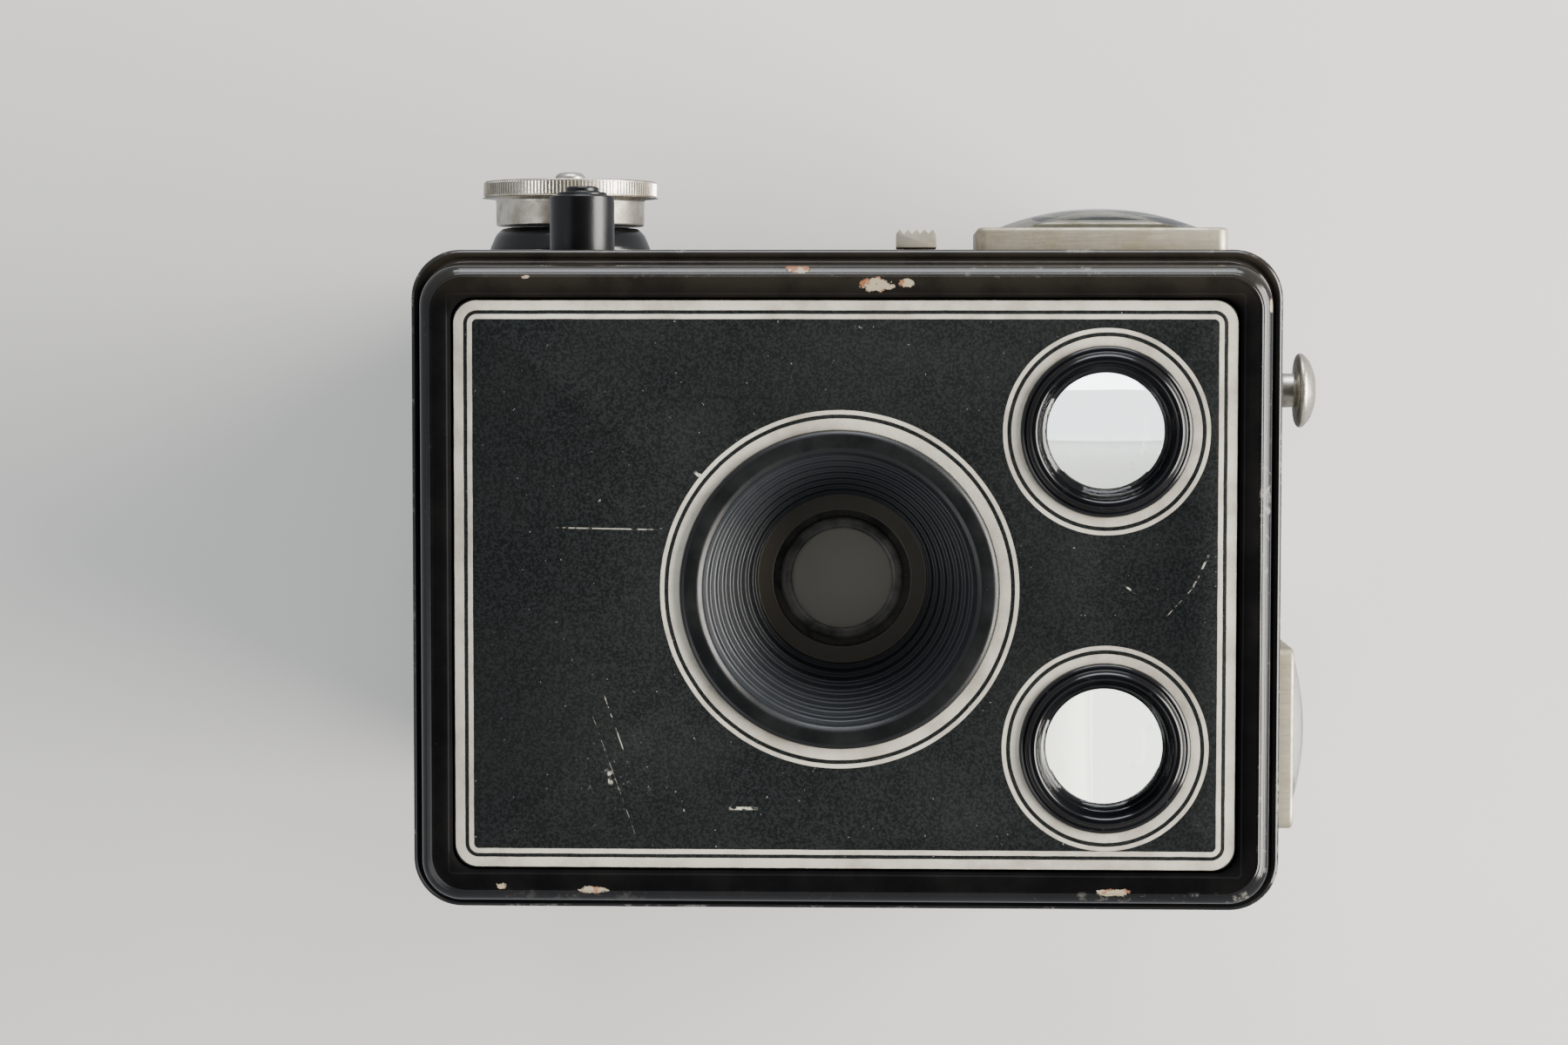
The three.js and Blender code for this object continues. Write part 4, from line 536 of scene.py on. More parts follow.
def charcoal_paint():
    material, tree, shader = blank("charcoal_crackle_paint")
    x, _, z = front_place(tree)
    fine = grain(tree, 0.30, 2, 0.5)
    cloud = grain(tree, 11.0, 4)
    paint = node(tree, "RGBA", node(tree, "SMOOTHSTEP", fine, 0.35, 0.68), linear("0d1010"),
                 linear("1f2323"))
    paint = node(tree, "RGBA", node(tree, "SMOOTHSTEP", cloud, 0.35, 0.7, 0, 0.15), paint,
                 linear("232522"))
    specks = node(tree, "SMOOTHSTEP", grain(tree, 0.55, 3, 0.5), 0.735, 0.76)
    paint = node(tree, "RGBA", node(tree, "MULTIPLY", specks, 0.55), paint, linear("8c9192"))
    # The dusty rubbed patch near the bottom on the far side from the post.
    patch = node(tree, "SMOOTHSTEP", away_from(tree, x, z, (23.5, 0, 25.0)), 1.0, 9.0, 1.0, 0.0)
    rub = node(tree, "MULTIPLY", patch,
               node(tree, "SMOOTHSTEP", grain(tree, 1.1, 9, 0.85), 0.58, 0.68))
    paint = node(tree, "RGBA", node(tree, "MULTIPLY", rub, 0.42), paint, linear("9da3a4"))
    wobble = node(tree, "MULTIPLY", node(tree, "SUBTRACT", grain(tree, 3.0, 3), 0.5), 0.10)
    edge = node(tree, "ADD", inside_outline(tree, x, z, 6.3, 2.8), wobble)
    lines = [band(tree, edge, 0.0, 1.15, 0.05), band(tree, edge, 1.62, 2.2, 0.05)]
    for centre, outer, inner in RINGS:
        reach = node(tree, "ADD", away_from(tree, x, z, centre), wobble)
        lines += [band(tree, reach, *outer, 0.05), band(tree, reach, *inner, 0.05)]
    stripe = lines[0]
    for line in lines[1:]:
        stripe = node(tree, "MAXIMUM", stripe, line)
    flaw = node(tree, "SMOOTHSTEP", grain(tree, 0.7, 6, 0.8), 0.70, 0.76, 1.0, 0.25)
    cream = node(tree, "RGBA", node(tree, "SMOOTHSTEP", grain(tree, 5.0, 5), 0.35, 0.75),
                 linear("cfcabb"), linear("a9a294"))
    face = node(tree, "RGBA", node(tree, "MULTIPLY", stripe, flaw), paint, cream)
    fray = node(tree, "SMOOTHSTEP", grain(tree, 0.9, 5), 0.42, 0.56)
    marks = 0.0
    for start, end, width, strength in SCRATCHES:
        line = node(tree, "MULTIPLY", scratch(tree, x, z, start, end, width), strength)
        marks = node(tree, "MAXIMUM", marks, node(tree, "MULTIPLY", line, fray))
    face = node(tree, "RGBA", marks, face, linear("c8c4b6"))
    feed(shader, {"Specular IOR Level": 0.18})
    rough = node(tree, "SMOOTHSTEP", cloud, 0.3, 0.7, 0.46, 0.56)
    relief = node(tree, "ADD", fine, node(tree, "MULTIPLY", stripe, 0.6))
    return coat(material, face, rough, relief, 0.02)


PLATE_PAINT = charcoal_paint()

# %% [markdown]
# ## Matt black, covering and metals
# The cone is blackened and matt so that no light bounces from it to the film. The body is wrapped
# in leathercloth, cotton coated and embossed with a pebble grain of about 0.8 mm. The fittings
# are nickel plate, warm and a little tarnished, and the inner parts are plain steel and brass.

# %% Matt black
def matt_black(name, tint="17191b", rough=0.5, throat=None):
    """Matt black. throat is the tint of what lies deep in the cone, where dust has settled."""
    material, tree, _ = blank(name)
    cloud = grain(tree, 6.0, 4)
    base = node(tree, "RGBA", node(tree, "SMOOTHSTEP", cloud, 0.3, 0.75), linear(tint),
                linear("202225"))
    if throat:
        depth = node(tree, "SUBTRACT", front_place(tree)[1], FRONT)
        rim = node(tree, "SMOOTHSTEP", depth, -0.1, 0.35, 1.0, 0.0)
        base = node(tree, "RGBA", rim, base, linear("0d0f10"))
        base = node(tree, "RGBA", node(tree, "SMOOTHSTEP", depth, 19.4, 19.8), base, linear(throat))
    dust = node(tree, "SMOOTHSTEP", grain(tree, 0.5, 5, 0.7), 0.66, 0.76)
    dusty = node(tree, "RGBA", node(tree, "MULTIPLY", dust, 0.25), base, linear("6b6d6c"))
    uneven = node(tree, "SMOOTHSTEP", cloud, 0.3, 0.7, rough - 0.06, rough + 0.1)
    return coat(material, dusty, uneven, grain(tree, 0.25, 2), 0.008)


CONE_BLACK = matt_black("matt_black_lacquer", "22262a", 0.36, "575144")
INNER_BLACK = matt_black("matt_black_steel")


# %% Leathercloth
def leathercloth():
    material, tree, _ = blank("embossed_leathercloth")
    place = node(tree, "TexCoord", out="Object")
    cells = node(tree, "TexVoronoi", Vector=place, Scale=1 / (0.9 * MM), Randomness=1.0,
                 feature="SMOOTH_F1")
    pebble = node(tree, "SMOOTHSTEP", cells, 0.15, 0.75, 1.0, 0.0)
    worn = grain(tree, 14.0, 4)
    body = node(tree, "RGBA", pebble, linear("0c0c0d"), linear("1c1c1e"))
    body = node(tree, "RGBA", node(tree, "SMOOTHSTEP", worn, 0.45, 0.8, 0, 0.35), body,
                linear("34312d"))
    rough = node(tree, "SMOOTHSTEP", worn, 0.3, 0.7, 0.40, 0.58)
    relief = node(tree, "ADD", pebble, node(tree, "MULTIPLY", grain(tree, 0.2, 2), 0.3))
    return coat(material, body, rough, relief, 0.10)


LEATHERCLOTH = leathercloth()


# %% Nickel plate, steel and brass
def metal(name, light, dark, rough, stain_mm=3.0, stretch=(1, 1, 1), peel=0.01, bare=1.0):
    """Plated or bare metal. stretch pulls its fine marks out along an axis, and bare is how
    much of it shines through a dull tarnished film."""
    material, tree, shader = blank(name)
    feed(shader, {"Metallic": bare})
    stain = grain(tree, stain_mm, 6, 0.65)
    tone = node(tree, "RGBA", node(tree, "SMOOTHSTEP", stain, 0.36, 0.68), linear(light),
                linear(dark))
    place = node(tree, "TexCoord", out="Object")
    drawn = node(tree, "Mapping", Vector=place, Scale=stretch)
    marks = node(tree, "TexNoise", Vector=drawn, Scale=1 / (0.25 * MM), Detail=4)
    blotch = node(tree, "SMOOTHSTEP", stain, 0.3, 0.75, rough - 0.06, rough + 0.14)
    streak = node(tree, "SMOOTHSTEP", marks, 0.3, 0.7, -0.05, 0.05)
    return coat(material, tone, node(tree, "ADD", blotch, streak), marks, peel)


NICKEL = metal("worn_nickel_plate", "ddd8cc", "aaa293", 0.28, bare=0.85)
FRAME_NICKEL = metal("tarnished_nickel_strip", "c4bcaa", "a1977f", 0.42, 4.0, (1, 0.08, 0.08),
                     0.02, 0.6)
TAB_NICKEL = metal("dull_nickel_tab", "bfb8a8", "a39b8a", 0.45, bare=0.4)
STEEL = metal("bright_steel", "a9abad", "6f7173", 0.36, 4.0, (1, 0.12, 1))
BLADE_STEEL = metal("blued_shutter_steel", "5a5c5f", "3c3e41", 0.42, 5.0)
BRASS = metal("plain_brass", "b59a5c", "84693a", 0.38)


# %% [markdown]
# ## Glass and mirrors
# The lens, the two little objectives and the two domed windows are polished glass. Real glass
# this old carries a film of dust, so its roughness isn't zero everywhere. The mirrors are
# silvered behind glass and have gone cloudy in spots.

# %% Glass, red plastic and mirror
def old_glass(name, tint, ior, rough, haze=0.03, clear=1.0):
    """Glass under a film of dust, or plastic. clear is how much of the light passes through."""
    material, tree, shader = blank(name)
    feed(shader, {"Transmission Weight": clear, "IOR": ior})
    film = grain(tree, 2.6, 6, 0.7)
    hazy = node(tree, "SMOOTHSTEP", film, 0.5, 0.85, rough, rough + haze)
    return coat(material, linear(tint), hazy, grain(tree, 4.0, 2), 0.004)


CROWN_GLASS = old_glass("crown_glass", "f4f7f5", 1.52, 0.0)
# The objectives bend light a little less than real ones, so that each is filled by its window.
OBJECTIVE_GLASS = old_glass("finder_objective_glass", "f6f8f6", 1.24, 0.0)
DUSTY_GLASS = old_glass("dusty_crown_glass", "c4c0b2", 1.52, 0.05, clear=0.55)
RED_CELLULOID = old_glass("red_celluloid", "a01016", 1.49, 0.12, 0.1)


def silvering():
    material, tree, shader = blank("silvered_glass")
    spots = node(tree, "SMOOTHSTEP", grain(tree, 1.5, 6, 0.7), 0.62, 0.74)
    cloudy = node(tree, "MULTIPLY", spots, 0.5)
    feed(shader, {"Metallic": 1.0,
                  "Base Color": node(tree, "RGBA", cloudy, linear("eef0ee"), linear("9a9488")),
                  "Roughness": node(tree, "SMOOTHSTEP", spots, 0, 1, 0.02, 0.22)})
    return material


SILVERING = silvering()
print("finishes:", len(bpy.data.materials))

# %% [markdown]
# ## The front frame
# One pressing: a floor behind the plate, a raised band round it with a rolled shoulder, and a
# flange that is turned over at the very edge into a small bead. The section is drawn once from
# the inside of the recess to the back, softened, and each of its points becomes one loop.

# %% Press the frame
FRAME_SECTION = [
    (6.05, PLATE + 1.5), (6.0, PLATE + 0.55), (5.85, 0.25), (5.1, 0.02),
    *[(3.85 - 1.78 * math.cos(math.radians(t)), 1.78 - 1.78 * math.sin(math.radians(t)))
      for t in range(90, -1, -10)],
    (2.05, FLANGE_BACK - 1.55), (1.55, FLANGE_BACK - 0.85), (1.15, FLANGE_BACK - 0.75),
    (0.92, FLANGE_BACK - 1.1), (0.5, FLANGE_BACK - 1.22), (0.1, FLANGE_BACK - 0.95),
    (0.0, FLANGE_BACK - 0.5), (0.0, FLANGE_BACK), (2.9, FLANGE_BACK), (3.0, PLATE + 1.6),
]


def outline_radius(inset):
    """The corner radius shrinks half as fast as the outline, as on the real pressing."""
    return CORNER - inset * 0.55


def outline_loop(inset, depth):
    return (WIDTH - 2 * inset, HEIGHT - 2 * inset, outline_radius(inset), depth)


loops = [outline_loop(*point) for point in soften(FRAME_SECTION, 0.35, 3)]
frame_piece = finish_piece(
    put(loft(loops, closed=True, segments=14), FACING_FRONT, MID_X, FRONT, MID_Z),
    "pressed_front_frame", "camera_body", FRAME_ENAMEL, ["front_frame"], 60,
)
print("front frame", len(frame_piece.data.polygons), "faces")

# %% [markdown]
# ## The front plate
# A flat sheet with three round holes. The outline and the circles are drawn as edges in one
# plane, filled together so that the circles stay open, then drawn back into a sheet whose front
# rim is slightly rolled.

# %% Cut the plate
def holed_sheet(outline, holes, thickness, roll=0.12, segments=10):
    """A flat sheet facing down -Z with round holes, (x, y, radius) each."""
    bm = bmesh.new()
    rim = rounded_loop(bm, *outline, segments)
    for x, y, radius in holes:
        circle = bmesh.ops.create_circle(
            bm, cap_ends=False, segments=96, radius=radius,
            matrix=Matrix.Translation((x, y, outline[3])),
        )
        rim += list({e for v in circle["verts"] for e in v.link_edges})
    bmesh.ops.triangle_fill(bm, use_beauty=True, use_dissolve=False, edges=rim, normal=(0, 0, -1))
    front = bm.faces[:]
    sides = bmesh.ops.extrude_face_region(bm, geom=front)
    moved = [v for v in sides["geom"] if isinstance(v, bmesh.types.BMVert)]
    bmesh.ops.translate(bm, verts=moved, vec=(0, 0, thickness))
    bmesh.ops.recalc_face_normals(bm, faces=bm.faces)
    front_rims = [e for e in keen_edges(bm, 1.2)
                  if all(abs(v.co.z - outline[3]) < 0.01 for v in e.verts)]
    break_edges(bm, front_rims, roll)
    return bm


plate_inset = span("face_plate")[0][0] - frame_low[0]
plate_holes = [
    (CONE[0] - MID_X, -(CONE[2] - MID_Z), 17.9),
    (SIDE_EYE[0] - MID_X, -(SIDE_EYE[2] - MID_Z), 9.6),
    (TOP_EYE[0] - MID_X, -(TOP_EYE[2] - MID_Z), 9.6),
]
sheet = holed_sheet(outline_loop(plate_inset, PLATE), plate_holes, 0.48)
plate_piece = finish_piece(
    put(sheet, FACING_FRONT, MID_X, FRONT, MID_Z), "painted_front_plate", "camera_body",
    PLATE_PAINT, ["face_plate"], 30,
)
print("plate", [round(v, 1) for v in plate_piece.dimensions * 1000])

# %% [markdown]
# ## The lens cone
# The cone is turned and then blackened. Its mouth has a broad flat rim, and inside it steps down
# towards the lens. Each step throws stray light back out, and in use you see the steps as fine
# rings, so each gets a small round lip.

# %% Turn the cone
cone_low, cone_high = span("lens_cone")
CONE_TOP = cone_low[1] - FRONT
RIM = (cone_high[0] - cone_low[0]) / 2
MOUTH, THROAT, STEPS = 16.35, 10.65, 7
cone_line = [(17.85, PLATE + 2.0), (17.85, PLATE + 0.02), (RIM, PLATE - 0.05),
             (RIM, CONE_TOP + 0.35), (RIM - 0.5, CONE_TOP), (MOUTH + 0.75, CONE_TOP + 0.02),
             (MOUTH + 0.1, CONE_TOP + 0.45), (MOUTH, CONE_TOP + 1.2)]
tread, riser = (MOUTH - THROAT) / STEPS, 18.0 / STEPS
for i in range(STEPS):
    radius, depth = MOUTH - tread * i, riser * i
    cone_line += [(radius - 0.04, depth + riser * 0.80), (radius - tread * 0.3, depth + riser),
                  (radius - tread, depth + riser * 1.02)]
cone_line += [(THROAT, 20.0), (8.6, 20.0), (8.6, 22.5), (12.1, 22.5), (12.1, 18.0),
              (17.85, 3.0), (17.85, PLATE + 2.0)]
finish_piece(
    put(spun(soften(cone_line, 0.22, 3), 160), FACING_FRONT, CONE[0], FRONT, CONE[2]),
    "stepped_lens_cone", "camera_body", CONE_BLACK, ["lens_cone"], 70,
)

# %% Turn the lens and its ring
cell_front = span("lens_cell")[0][1] - FRONT
cell_line = [(6.3, cell_front + 0.55), (6.3, cell_front + 0.22), (6.75, cell_front + 0.02),
             (7.35, cell_front), (7.7, cell_front + 0.3), (7.7, 22.6), (10.5, 22.6), (10.5, 23.75),
             (7.22, 23.75), (7.22, cell_front + 0.6), (6.3, cell_front + 0.55)]
RING_BLACK = matt_black("ring_grey_enamel", "76736a", 0.28)
finish_piece(
    put(spun(soften(cell_line, 0.12, 3), 128), FACING_FRONT, CONE[0], FRONT, CONE[2]),
    "lens_ring", "camera_body", RING_BLACK, ["lens_cell"], 60,
)


def curved(radius, curve, level, count=14):
    """Points of a shallow curve from the axis out to a radius."""
    return [
        (radius * i / count, level + curve - math.sqrt(curve ** 2 - (radius * i / count) ** 2))
        for i in range(count + 1)
    ]


lens_front = span("lens")[0][1] - FRONT
lens_back = span("lens")[1][1] - FRONT
lens_line = curved(6.2, 22.0, lens_front) + [(7.1, cell_front + 0.66)]
lens_line += list(reversed(curved(7.1, 35.0, lens_back - 0.74)))
finish_piece(
    put(spun(lens_line, 96), FACING_FRONT, CONE[0], FRONT, CONE[2]),
    "meniscus_lens", "camera_body", DUSTY_GLASS, ["lens"], 30,
)

# %% [markdown]
# ## The finder bezels and objectives
# Each finder looks out through a glossy black bezel: a flat ring on the plate, a rolled bead, and
# a slope down to the glass. The bead is the part that draws a bright crescent. The objective is
# a small plano-convex lens behind the lip.

# %% Turn the bezels
BEZEL_ENAMEL = stoved_enamel("gloss_black_bezel_enamel", "08080a", 0.09)


def bezel(name, eye, cad):
    low, high = span(cad)
    crest = low[1] - FRONT
    back = high[1] - FRONT
    outer = (high[0] - low[0]) / 2
    glass = PLATE + 1.9
    line = [(9.25, PLATE - 0.05), (outer, PLATE - 0.05), (outer, PLATE - 0.5),
            (outer - 0.4, PLATE - 0.72), (9.55, PLATE - 0.74), (9.35, crest + 0.35),
            (9.0, crest + 0.04), (8.5, crest + 0.04), (8.1, crest + 0.5), (7.75, PLATE + 0.6),
            (7.3, PLATE + 1.3), (7.05, glass - 0.1), (7.0, glass + 0.2), (7.9, glass + 0.22),
            (7.9, back), (9.25, back), (9.25, PLATE - 0.05)]
    return finish_piece(
        put(spun(soften(line, 0.3, 4), 128), FACING_FRONT, eye[0], FRONT, eye[2]),
        name, "camera_body", BEZEL_ENAMEL, [cad], 55,
    )


bezel("side_finder_rolled_bezel", SIDE_EYE, "side_finder_bezel")
bezel("top_finder_rolled_bezel", TOP_EYE, "top_finder_bezel")


def objective(name, eye, cad):
    low, high = span(cad)
    crown, back = low[1] - FRONT, high[1] - FRONT
    line = curved(6.9, 12.0, crown) + [(7.8, crown + 2.24), (7.8, back), (0, back)]
    return finish_piece(
        put(spun(line, 96), FACING_FRONT, eye[0], FRONT, eye[2]),
        name, "camera_body", OBJECTIVE_GLASS, [cad], 30,
    )


objective("side_finder_glass", SIDE_EYE, "side_finder_objective")
objective("top_finder_glass", TOP_EYE, "top_finder_objective")

# %% [markdown]
# ## The body covering
# The leathercloth is wrapped round the body and its corners are as round as the frame's. It is
# lofted from a few loops between the frame and the back, opened where the windows, the slider
# and the controls pass through it, and given its thickness inwards.

# %% Wrap the covering
cover_low, cover_high = span("body_covering")
levels = [cover_low[1] - FRONT, cover_low[1] - FRONT + 0.25]
levels += [cover_high[1] - FRONT - 0.25, cover_high[1] - FRONT]
insets = [0.18, 0.0, 0.0, 0.18]
skin = loft([outline_loop(i, d) for i, d in zip(insets, levels)], segments=16)
put(skin, FACING_FRONT, MID_X, FRONT, MID_Z)
openings = []
side_low, side_high = span("side_window_frame")
top_low, top_high = span("top_window_frame")
slide_low, slide_high = span("speed_slider")
openings.append(((-FAR, -WALL + 3), (side_low[1] + 3, side_high[1] - 3),
                 (side_low[2] + 3, side_high[2] - 3)))
openings.append(((top_low[0] + 3, top_high[0] - 3), (top_low[1] + 3, top_high[1] - 3),
                 (TOP - 3, FAR)))
slot_mid = (slide_low[1] + 5.0, (slide_low[2] + slide_high[2]) / 2)
openings.append(((-FAR, -WALL + 3), (slot_mid[0] - 1.6, slot_mid[0] + 1.6),
                 (slot_mid[1] - 7.3, slot_mid[1] + 1.8)))
removed = [cut_away(skin, box) for box in openings]
thicken(skin, 0.47)
finish_piece(skin, "leathercloth_wrap", "camera_body", LEATHERCLOTH, ["body_covering"], 40,
             flip=False)
print("openings took", removed, "faces")

# %% [markdown]
# ## The finder windows
# Each window is a nickelled strip frame with a domed glass standing in it. The frame is a loft
# closed on itself. The dome is a slice of a sphere: a curved line is turned, and the round
# block is trimmed to a rectangle by four cuts whose open sides are filled again.

# %% Make both windows
def window_frame(name, long, wide, stand, turn, place, cad):
    section = [(0, 0), (0, stand - 0.3), (0.3, stand), (1.5, stand), (1.85, stand - 0.25),
               (1.85, 0.75), (3.1, 0.65), (3.1, 0)]
    loops = [(long - 2 * i, wide - 2 * i, max(1.3 - i * 0.4, 0.3), h)
             for i, h in soften(section, 0.2, 2)]
    return finish_piece(put(loft(loops, closed=True, segments=6), turn, *place), name,
                        "camera_body", FRAME_NICKEL, [cad], 35)


def window_dome(name, long, wide, foot, stand, rise, turn, place, cad):
    half = max(long, wide) / 2
    curve = (half ** 2 + rise ** 2) / (2 * rise)
    line = [(0, foot), (half * 1.3, foot)]
    line += [(r, h) for r, h in (
        (half * 1.3 * (1 - i / 40),
         stand + rise - curve + math.sqrt(curve ** 2 - (half * 1.3 * (1 - i / 40)) ** 2))
        for i in range(41))]
    bm = spun(line, 120)
    for axis, limit in ((0, long / 2), (1, wide / 2)):
        for side in (-1, 1):
            cut = slice_at(bm, axis, side * limit, plane_no=Matrix.Identity(3)[axis] * side,
                           clear_outer=True)
            rim = [e for e in cut["geom_cut"] if isinstance(e, bmesh.types.BMEdge)]
            bmesh.ops.edgeloop_fill(bm, edges=rim)
    bmesh.ops.recalc_face_normals(bm, faces=bm.faces)
    break_edges(bm, keen_edges(bm, 0.8), 0.15, clamp_overlap=True)
    return finish_piece(put(bm, turn, *place), name, "camera_body", CROWN_GLASS, [cad], 35)


side_mid, top_mid = middle("side_window_frame"), middle("top_window_frame")
side_stand = -WALL - side_low[0]
top_stand = top_high[2] - TOP
window_frame("side_window_strip", side_high[2] - side_low[2], side_high[1] - side_low[1],
             side_stand - 0.05, FACING_SIDE, (-WALL - 0.05, side_mid[1], side_mid[2]),
             "side_window_frame")
window_frame("top_window_strip", top_high[0] - top_low[0], top_high[1] - top_low[1],
             top_stand - 0.05, FACING_TOP, (top_mid[0], top_mid[1], TOP + 0.05),
             "top_window_frame")
for name, cad, turn, across, along in (
    ("side_window_dome", "side_window_lens", FACING_SIDE, 2, 1),
    ("top_window_dome", "top_window_lens", FACING_TOP, 0, 1),
):
    low, high = span(cad)
    if cad.startswith("side"):
        foot, peak, place = -WALL - high[0], -WALL - low[0], (-WALL, *middle(cad)[1:])
        stand = side_stand
    else:
        foot, peak, place = low[2] - TOP, high[2] - TOP, (*middle(cad)[:2], TOP)
        stand = top_stand
    window_dome(name, high[across] - low[across], high[along] - low[along], foot, stand - 0.1,
                peak - stand + 0.1, turn, place, cad)
print("windows stand", round(side_stand, 2), round(top_stand, 2), "mm")

# %% [markdown]
# ## The winding knob
# A nickelled drum on a black boss, with a coin-like rim at its outer end. The rim's teeth are
# straight and fine: a circle of twice as many points has every second one drawn in, and the
# crown of points is then pulled up into the rim.

# %% Turn and knurl the knob
knob_low, knob_high = span("wind_knob")
KEY_Y, KEY_Z = middle("knob_rivet")[1], middle("knob_rivet")[2]
boss_stand = -WALL - span("knob_boss")[0][0]
foot = -WALL - knob_high[0]
knob_top = -WALL - knob_low[0]
rim_radius = (knob_high[2] - knob_low[2]) / 2
rim_foot = knob_top - 2.3
TEETH = 150
boss_line = [(2.1, 0.05), (10.7, 0.05), (10.7, 0.9), (9.9, boss_stand - 0.9),
             (9.0, boss_stand), (2.1, boss_stand), (2.1, 0.05)]
finish_piece(put(spun(soften(boss_line, 0.4), 96), FACING_SIDE, -WALL, KEY_Y, KEY_Z),
             "knob_boss_turned", "camera_body", ENAMEL, ["knob_boss"], 50)
drum_line = [(2.1, foot), (9.85, foot), (9.85, rim_foot - 0.35), (10.4, rim_foot - 0.02),
             (rim_radius - 0.5, rim_foot), (rim_radius - 0.5, knob_top - 0.1),
             (rim_radius - 1.3, knob_top - 0.06), (rim_radius - 1.9, knob_top - 0.5),
             (5.5, knob_top - 0.45), (4.6, knob_top - 0.05), (2.1, knob_top - 0.02), (2.1, foot)]
drum = spun(soften(drum_line, 0.25), 128)
before = set(drum.verts)
crown = bmesh.ops.create_circle(
    drum, cap_ends=False, segments=TEETH * 2, radius=rim_radius,
    matrix=Matrix.Translation((0, 0, rim_foot)))["verts"]
drawn_in = [v for i, v in enumerate(crown) if i % 2]
bmesh.ops.scale(drum, verts=drawn_in, vec=(1 - 0.3 / rim_radius, 1 - 0.3 / rim_radius, 1))
edges = list({e for v in crown for e in v.link_edges})
for rise, grow in ((0.0, -0.9), (0.3, 0.55), (1.6, 0.0), (0.3, -0.35), (0.0, -0.75)):
    made = bmesh.ops.extrude_edge_only(drum, edges=edges)["geom"]
    crown = [g for g in made if isinstance(g, bmesh.types.BMVert)]
    edges = [g for g in made if isinstance(g, bmesh.types.BMEdge)
             and all(v in crown for v in g.verts)]
    factor = 1 + grow / rim_radius
    bmesh.ops.scale(drum, verts=crown, vec=(factor, factor, 1))
    bmesh.ops.translate(drum, verts=crown, vec=(0, 0, rise))
put(drum, FACING_SIDE, -WALL, KEY_Y, KEY_Z)
finish_piece(drum, "knurled_winding_knob", "winding_key", NICKEL, ["wind_knob"], 35)

rivet_top = -WALL - span("knob_rivet")[0][0]
rivet_line = [(0, knob_top + 0.02), (2.0, knob_top + 0.02), (2.0, rivet_top - 0.55),
              (1.5, rivet_top - 0.12), (0.6, rivet_top), (0, rivet_top)]
finish_piece(put(spun(soften(rivet_line, 0.3), 48), FACING_SIDE, -WALL, KEY_Y, KEY_Z),
             "knob_rivet_turned", "winding_key", NICKEL, ["knob_rivet"], 50)
print("knob rim", round(rim_radius * 2, 1), "mm with", TEETH, "teeth")

# %% [markdown]
# ## The release post, the slider and the strap studs
# The post is a stepped pin, glossy from its enamel and from fingers. The slider is a bent tab
# with saw teeth for a fingernail. The studs are turned mushrooms that held a carrying strap.

# %% Make the controls
post_low, post_high = span("release_post")
post_top = -WALL - post_low[0]
post_end = -WALL - post_high[0]
post_r = (post_high[2] - post_low[2]) / 2
stand = post_top - 1.15
post_line = [(0, post_end), (post_r - 0.4, post_end), (post_r, post_end + 0.4),
             (post_r, stand - 0.1), (post_r - 0.35, stand), (3.1, stand + 0.02),
             (3.05, stand + 0.4), (2.3, stand + 0.42), (2.1, stand + 0.5), (2.05, post_top - 0.15),
             (1.7, post_top), (0, post_top)]
POST_Y, POST_Z = middle("release_post")[1], middle("release_post")[2]
finish_piece(put(spun(soften(post_line, 0.15), 72), FACING_SIDE, -WALL, POST_Y, POST_Z),
             "release_post_turned", "release_post", POST_ENAMEL, ["release_post"], 40)
eased_copy("speed_slider", "speed_slider", TAB_NICKEL, 0.07)


def stud(name, cad):
    crown = span(cad)[1][2] - TOP
    x, y, _ = middle(cad)
    line = [(0, -0.6), (1.2, -0.6), (1.2, 0.05), (2.8, 0.05), (2.75, 0.5), (2.15, 0.85),
            (2.1, crown - 2.6), (4.1, crown - 2.55), (4.68, crown - 2.2), (4.6, crown - 1.6),
            (3.6, crown - 0.75), (2.0, crown - 0.18), (0, crown)]
    return finish_piece(put(spun(soften(line, 0.45), 72), FACING_TOP, x, y, TOP), name,
                        "camera_body", NICKEL, [cad], 55)


stud("front_strap_stud", "strap_stud_front")
stud("rear_strap_stud", "strap_stud_rear")
print("post stands", round(post_top, 1), "mm")

# %% [markdown]
# ## The hinged back
# The back is a shallow enamelled pan whose rim meets the body all round. Its section is lofted
# like the frame's, the bottom rim is cut away for the hinge, and the pan gets its thickness. A
# panel of the same leathercloth lies on it, round the red window and its rolled ring.

# %% Press the back
door_low, door_high = span("back_door")
rim_front, plate_back = door_low[1] - FRONT, door_high[1] - FRONT
hinge_z = middle("hinge_pin")[2]
cover_box = span("door_covering")
pan_line = soften([(0.0, rim_front), (0.0, plate_back - 0.9), (0.9, plate_back),
                   (4.0, plate_back)], 0.7, 5)
pan = loft([(WIDTH - 2 * i, HEIGHT - 2 * i, CORNER - i * 0.5, d) for i, d in pan_line],
           segments=14)
last = max(v.co.z for v in pan.verts)
open_rim = [e for e in pan.edges if e.is_boundary and all(v.co.z > last - 0.01 for v in e.verts)]
red = middle("red_window_ring")
hole = bmesh.ops.create_circle(pan, cap_ends=False, segments=64, radius=5.0,
                               matrix=Matrix.Translation((red[0] - MID_X, -(red[2] - MID_Z), last)))
ring_edges = list({e for v in hole["verts"] for e in v.link_edges})
bmesh.ops.triangle_fill(pan, use_beauty=True, use_dissolve=False, edges=open_rim + ring_edges,
                        normal=(0, 0, 1))
put(pan, FACING_FRONT, MID_X, FRONT, MID_Z)
flat_front = door_high[1] - 0.85
cut_away(pan, ((-FAR, FAR), (-FAR, flat_front), (-FAR, 4.5)))
for side in (-1, 1):
    notch = sorted((side * 15.0, side * 27.6))
    cut_away(pan, (notch, (-FAR, FAR), (-FAR, hinge_z + 2.3)))
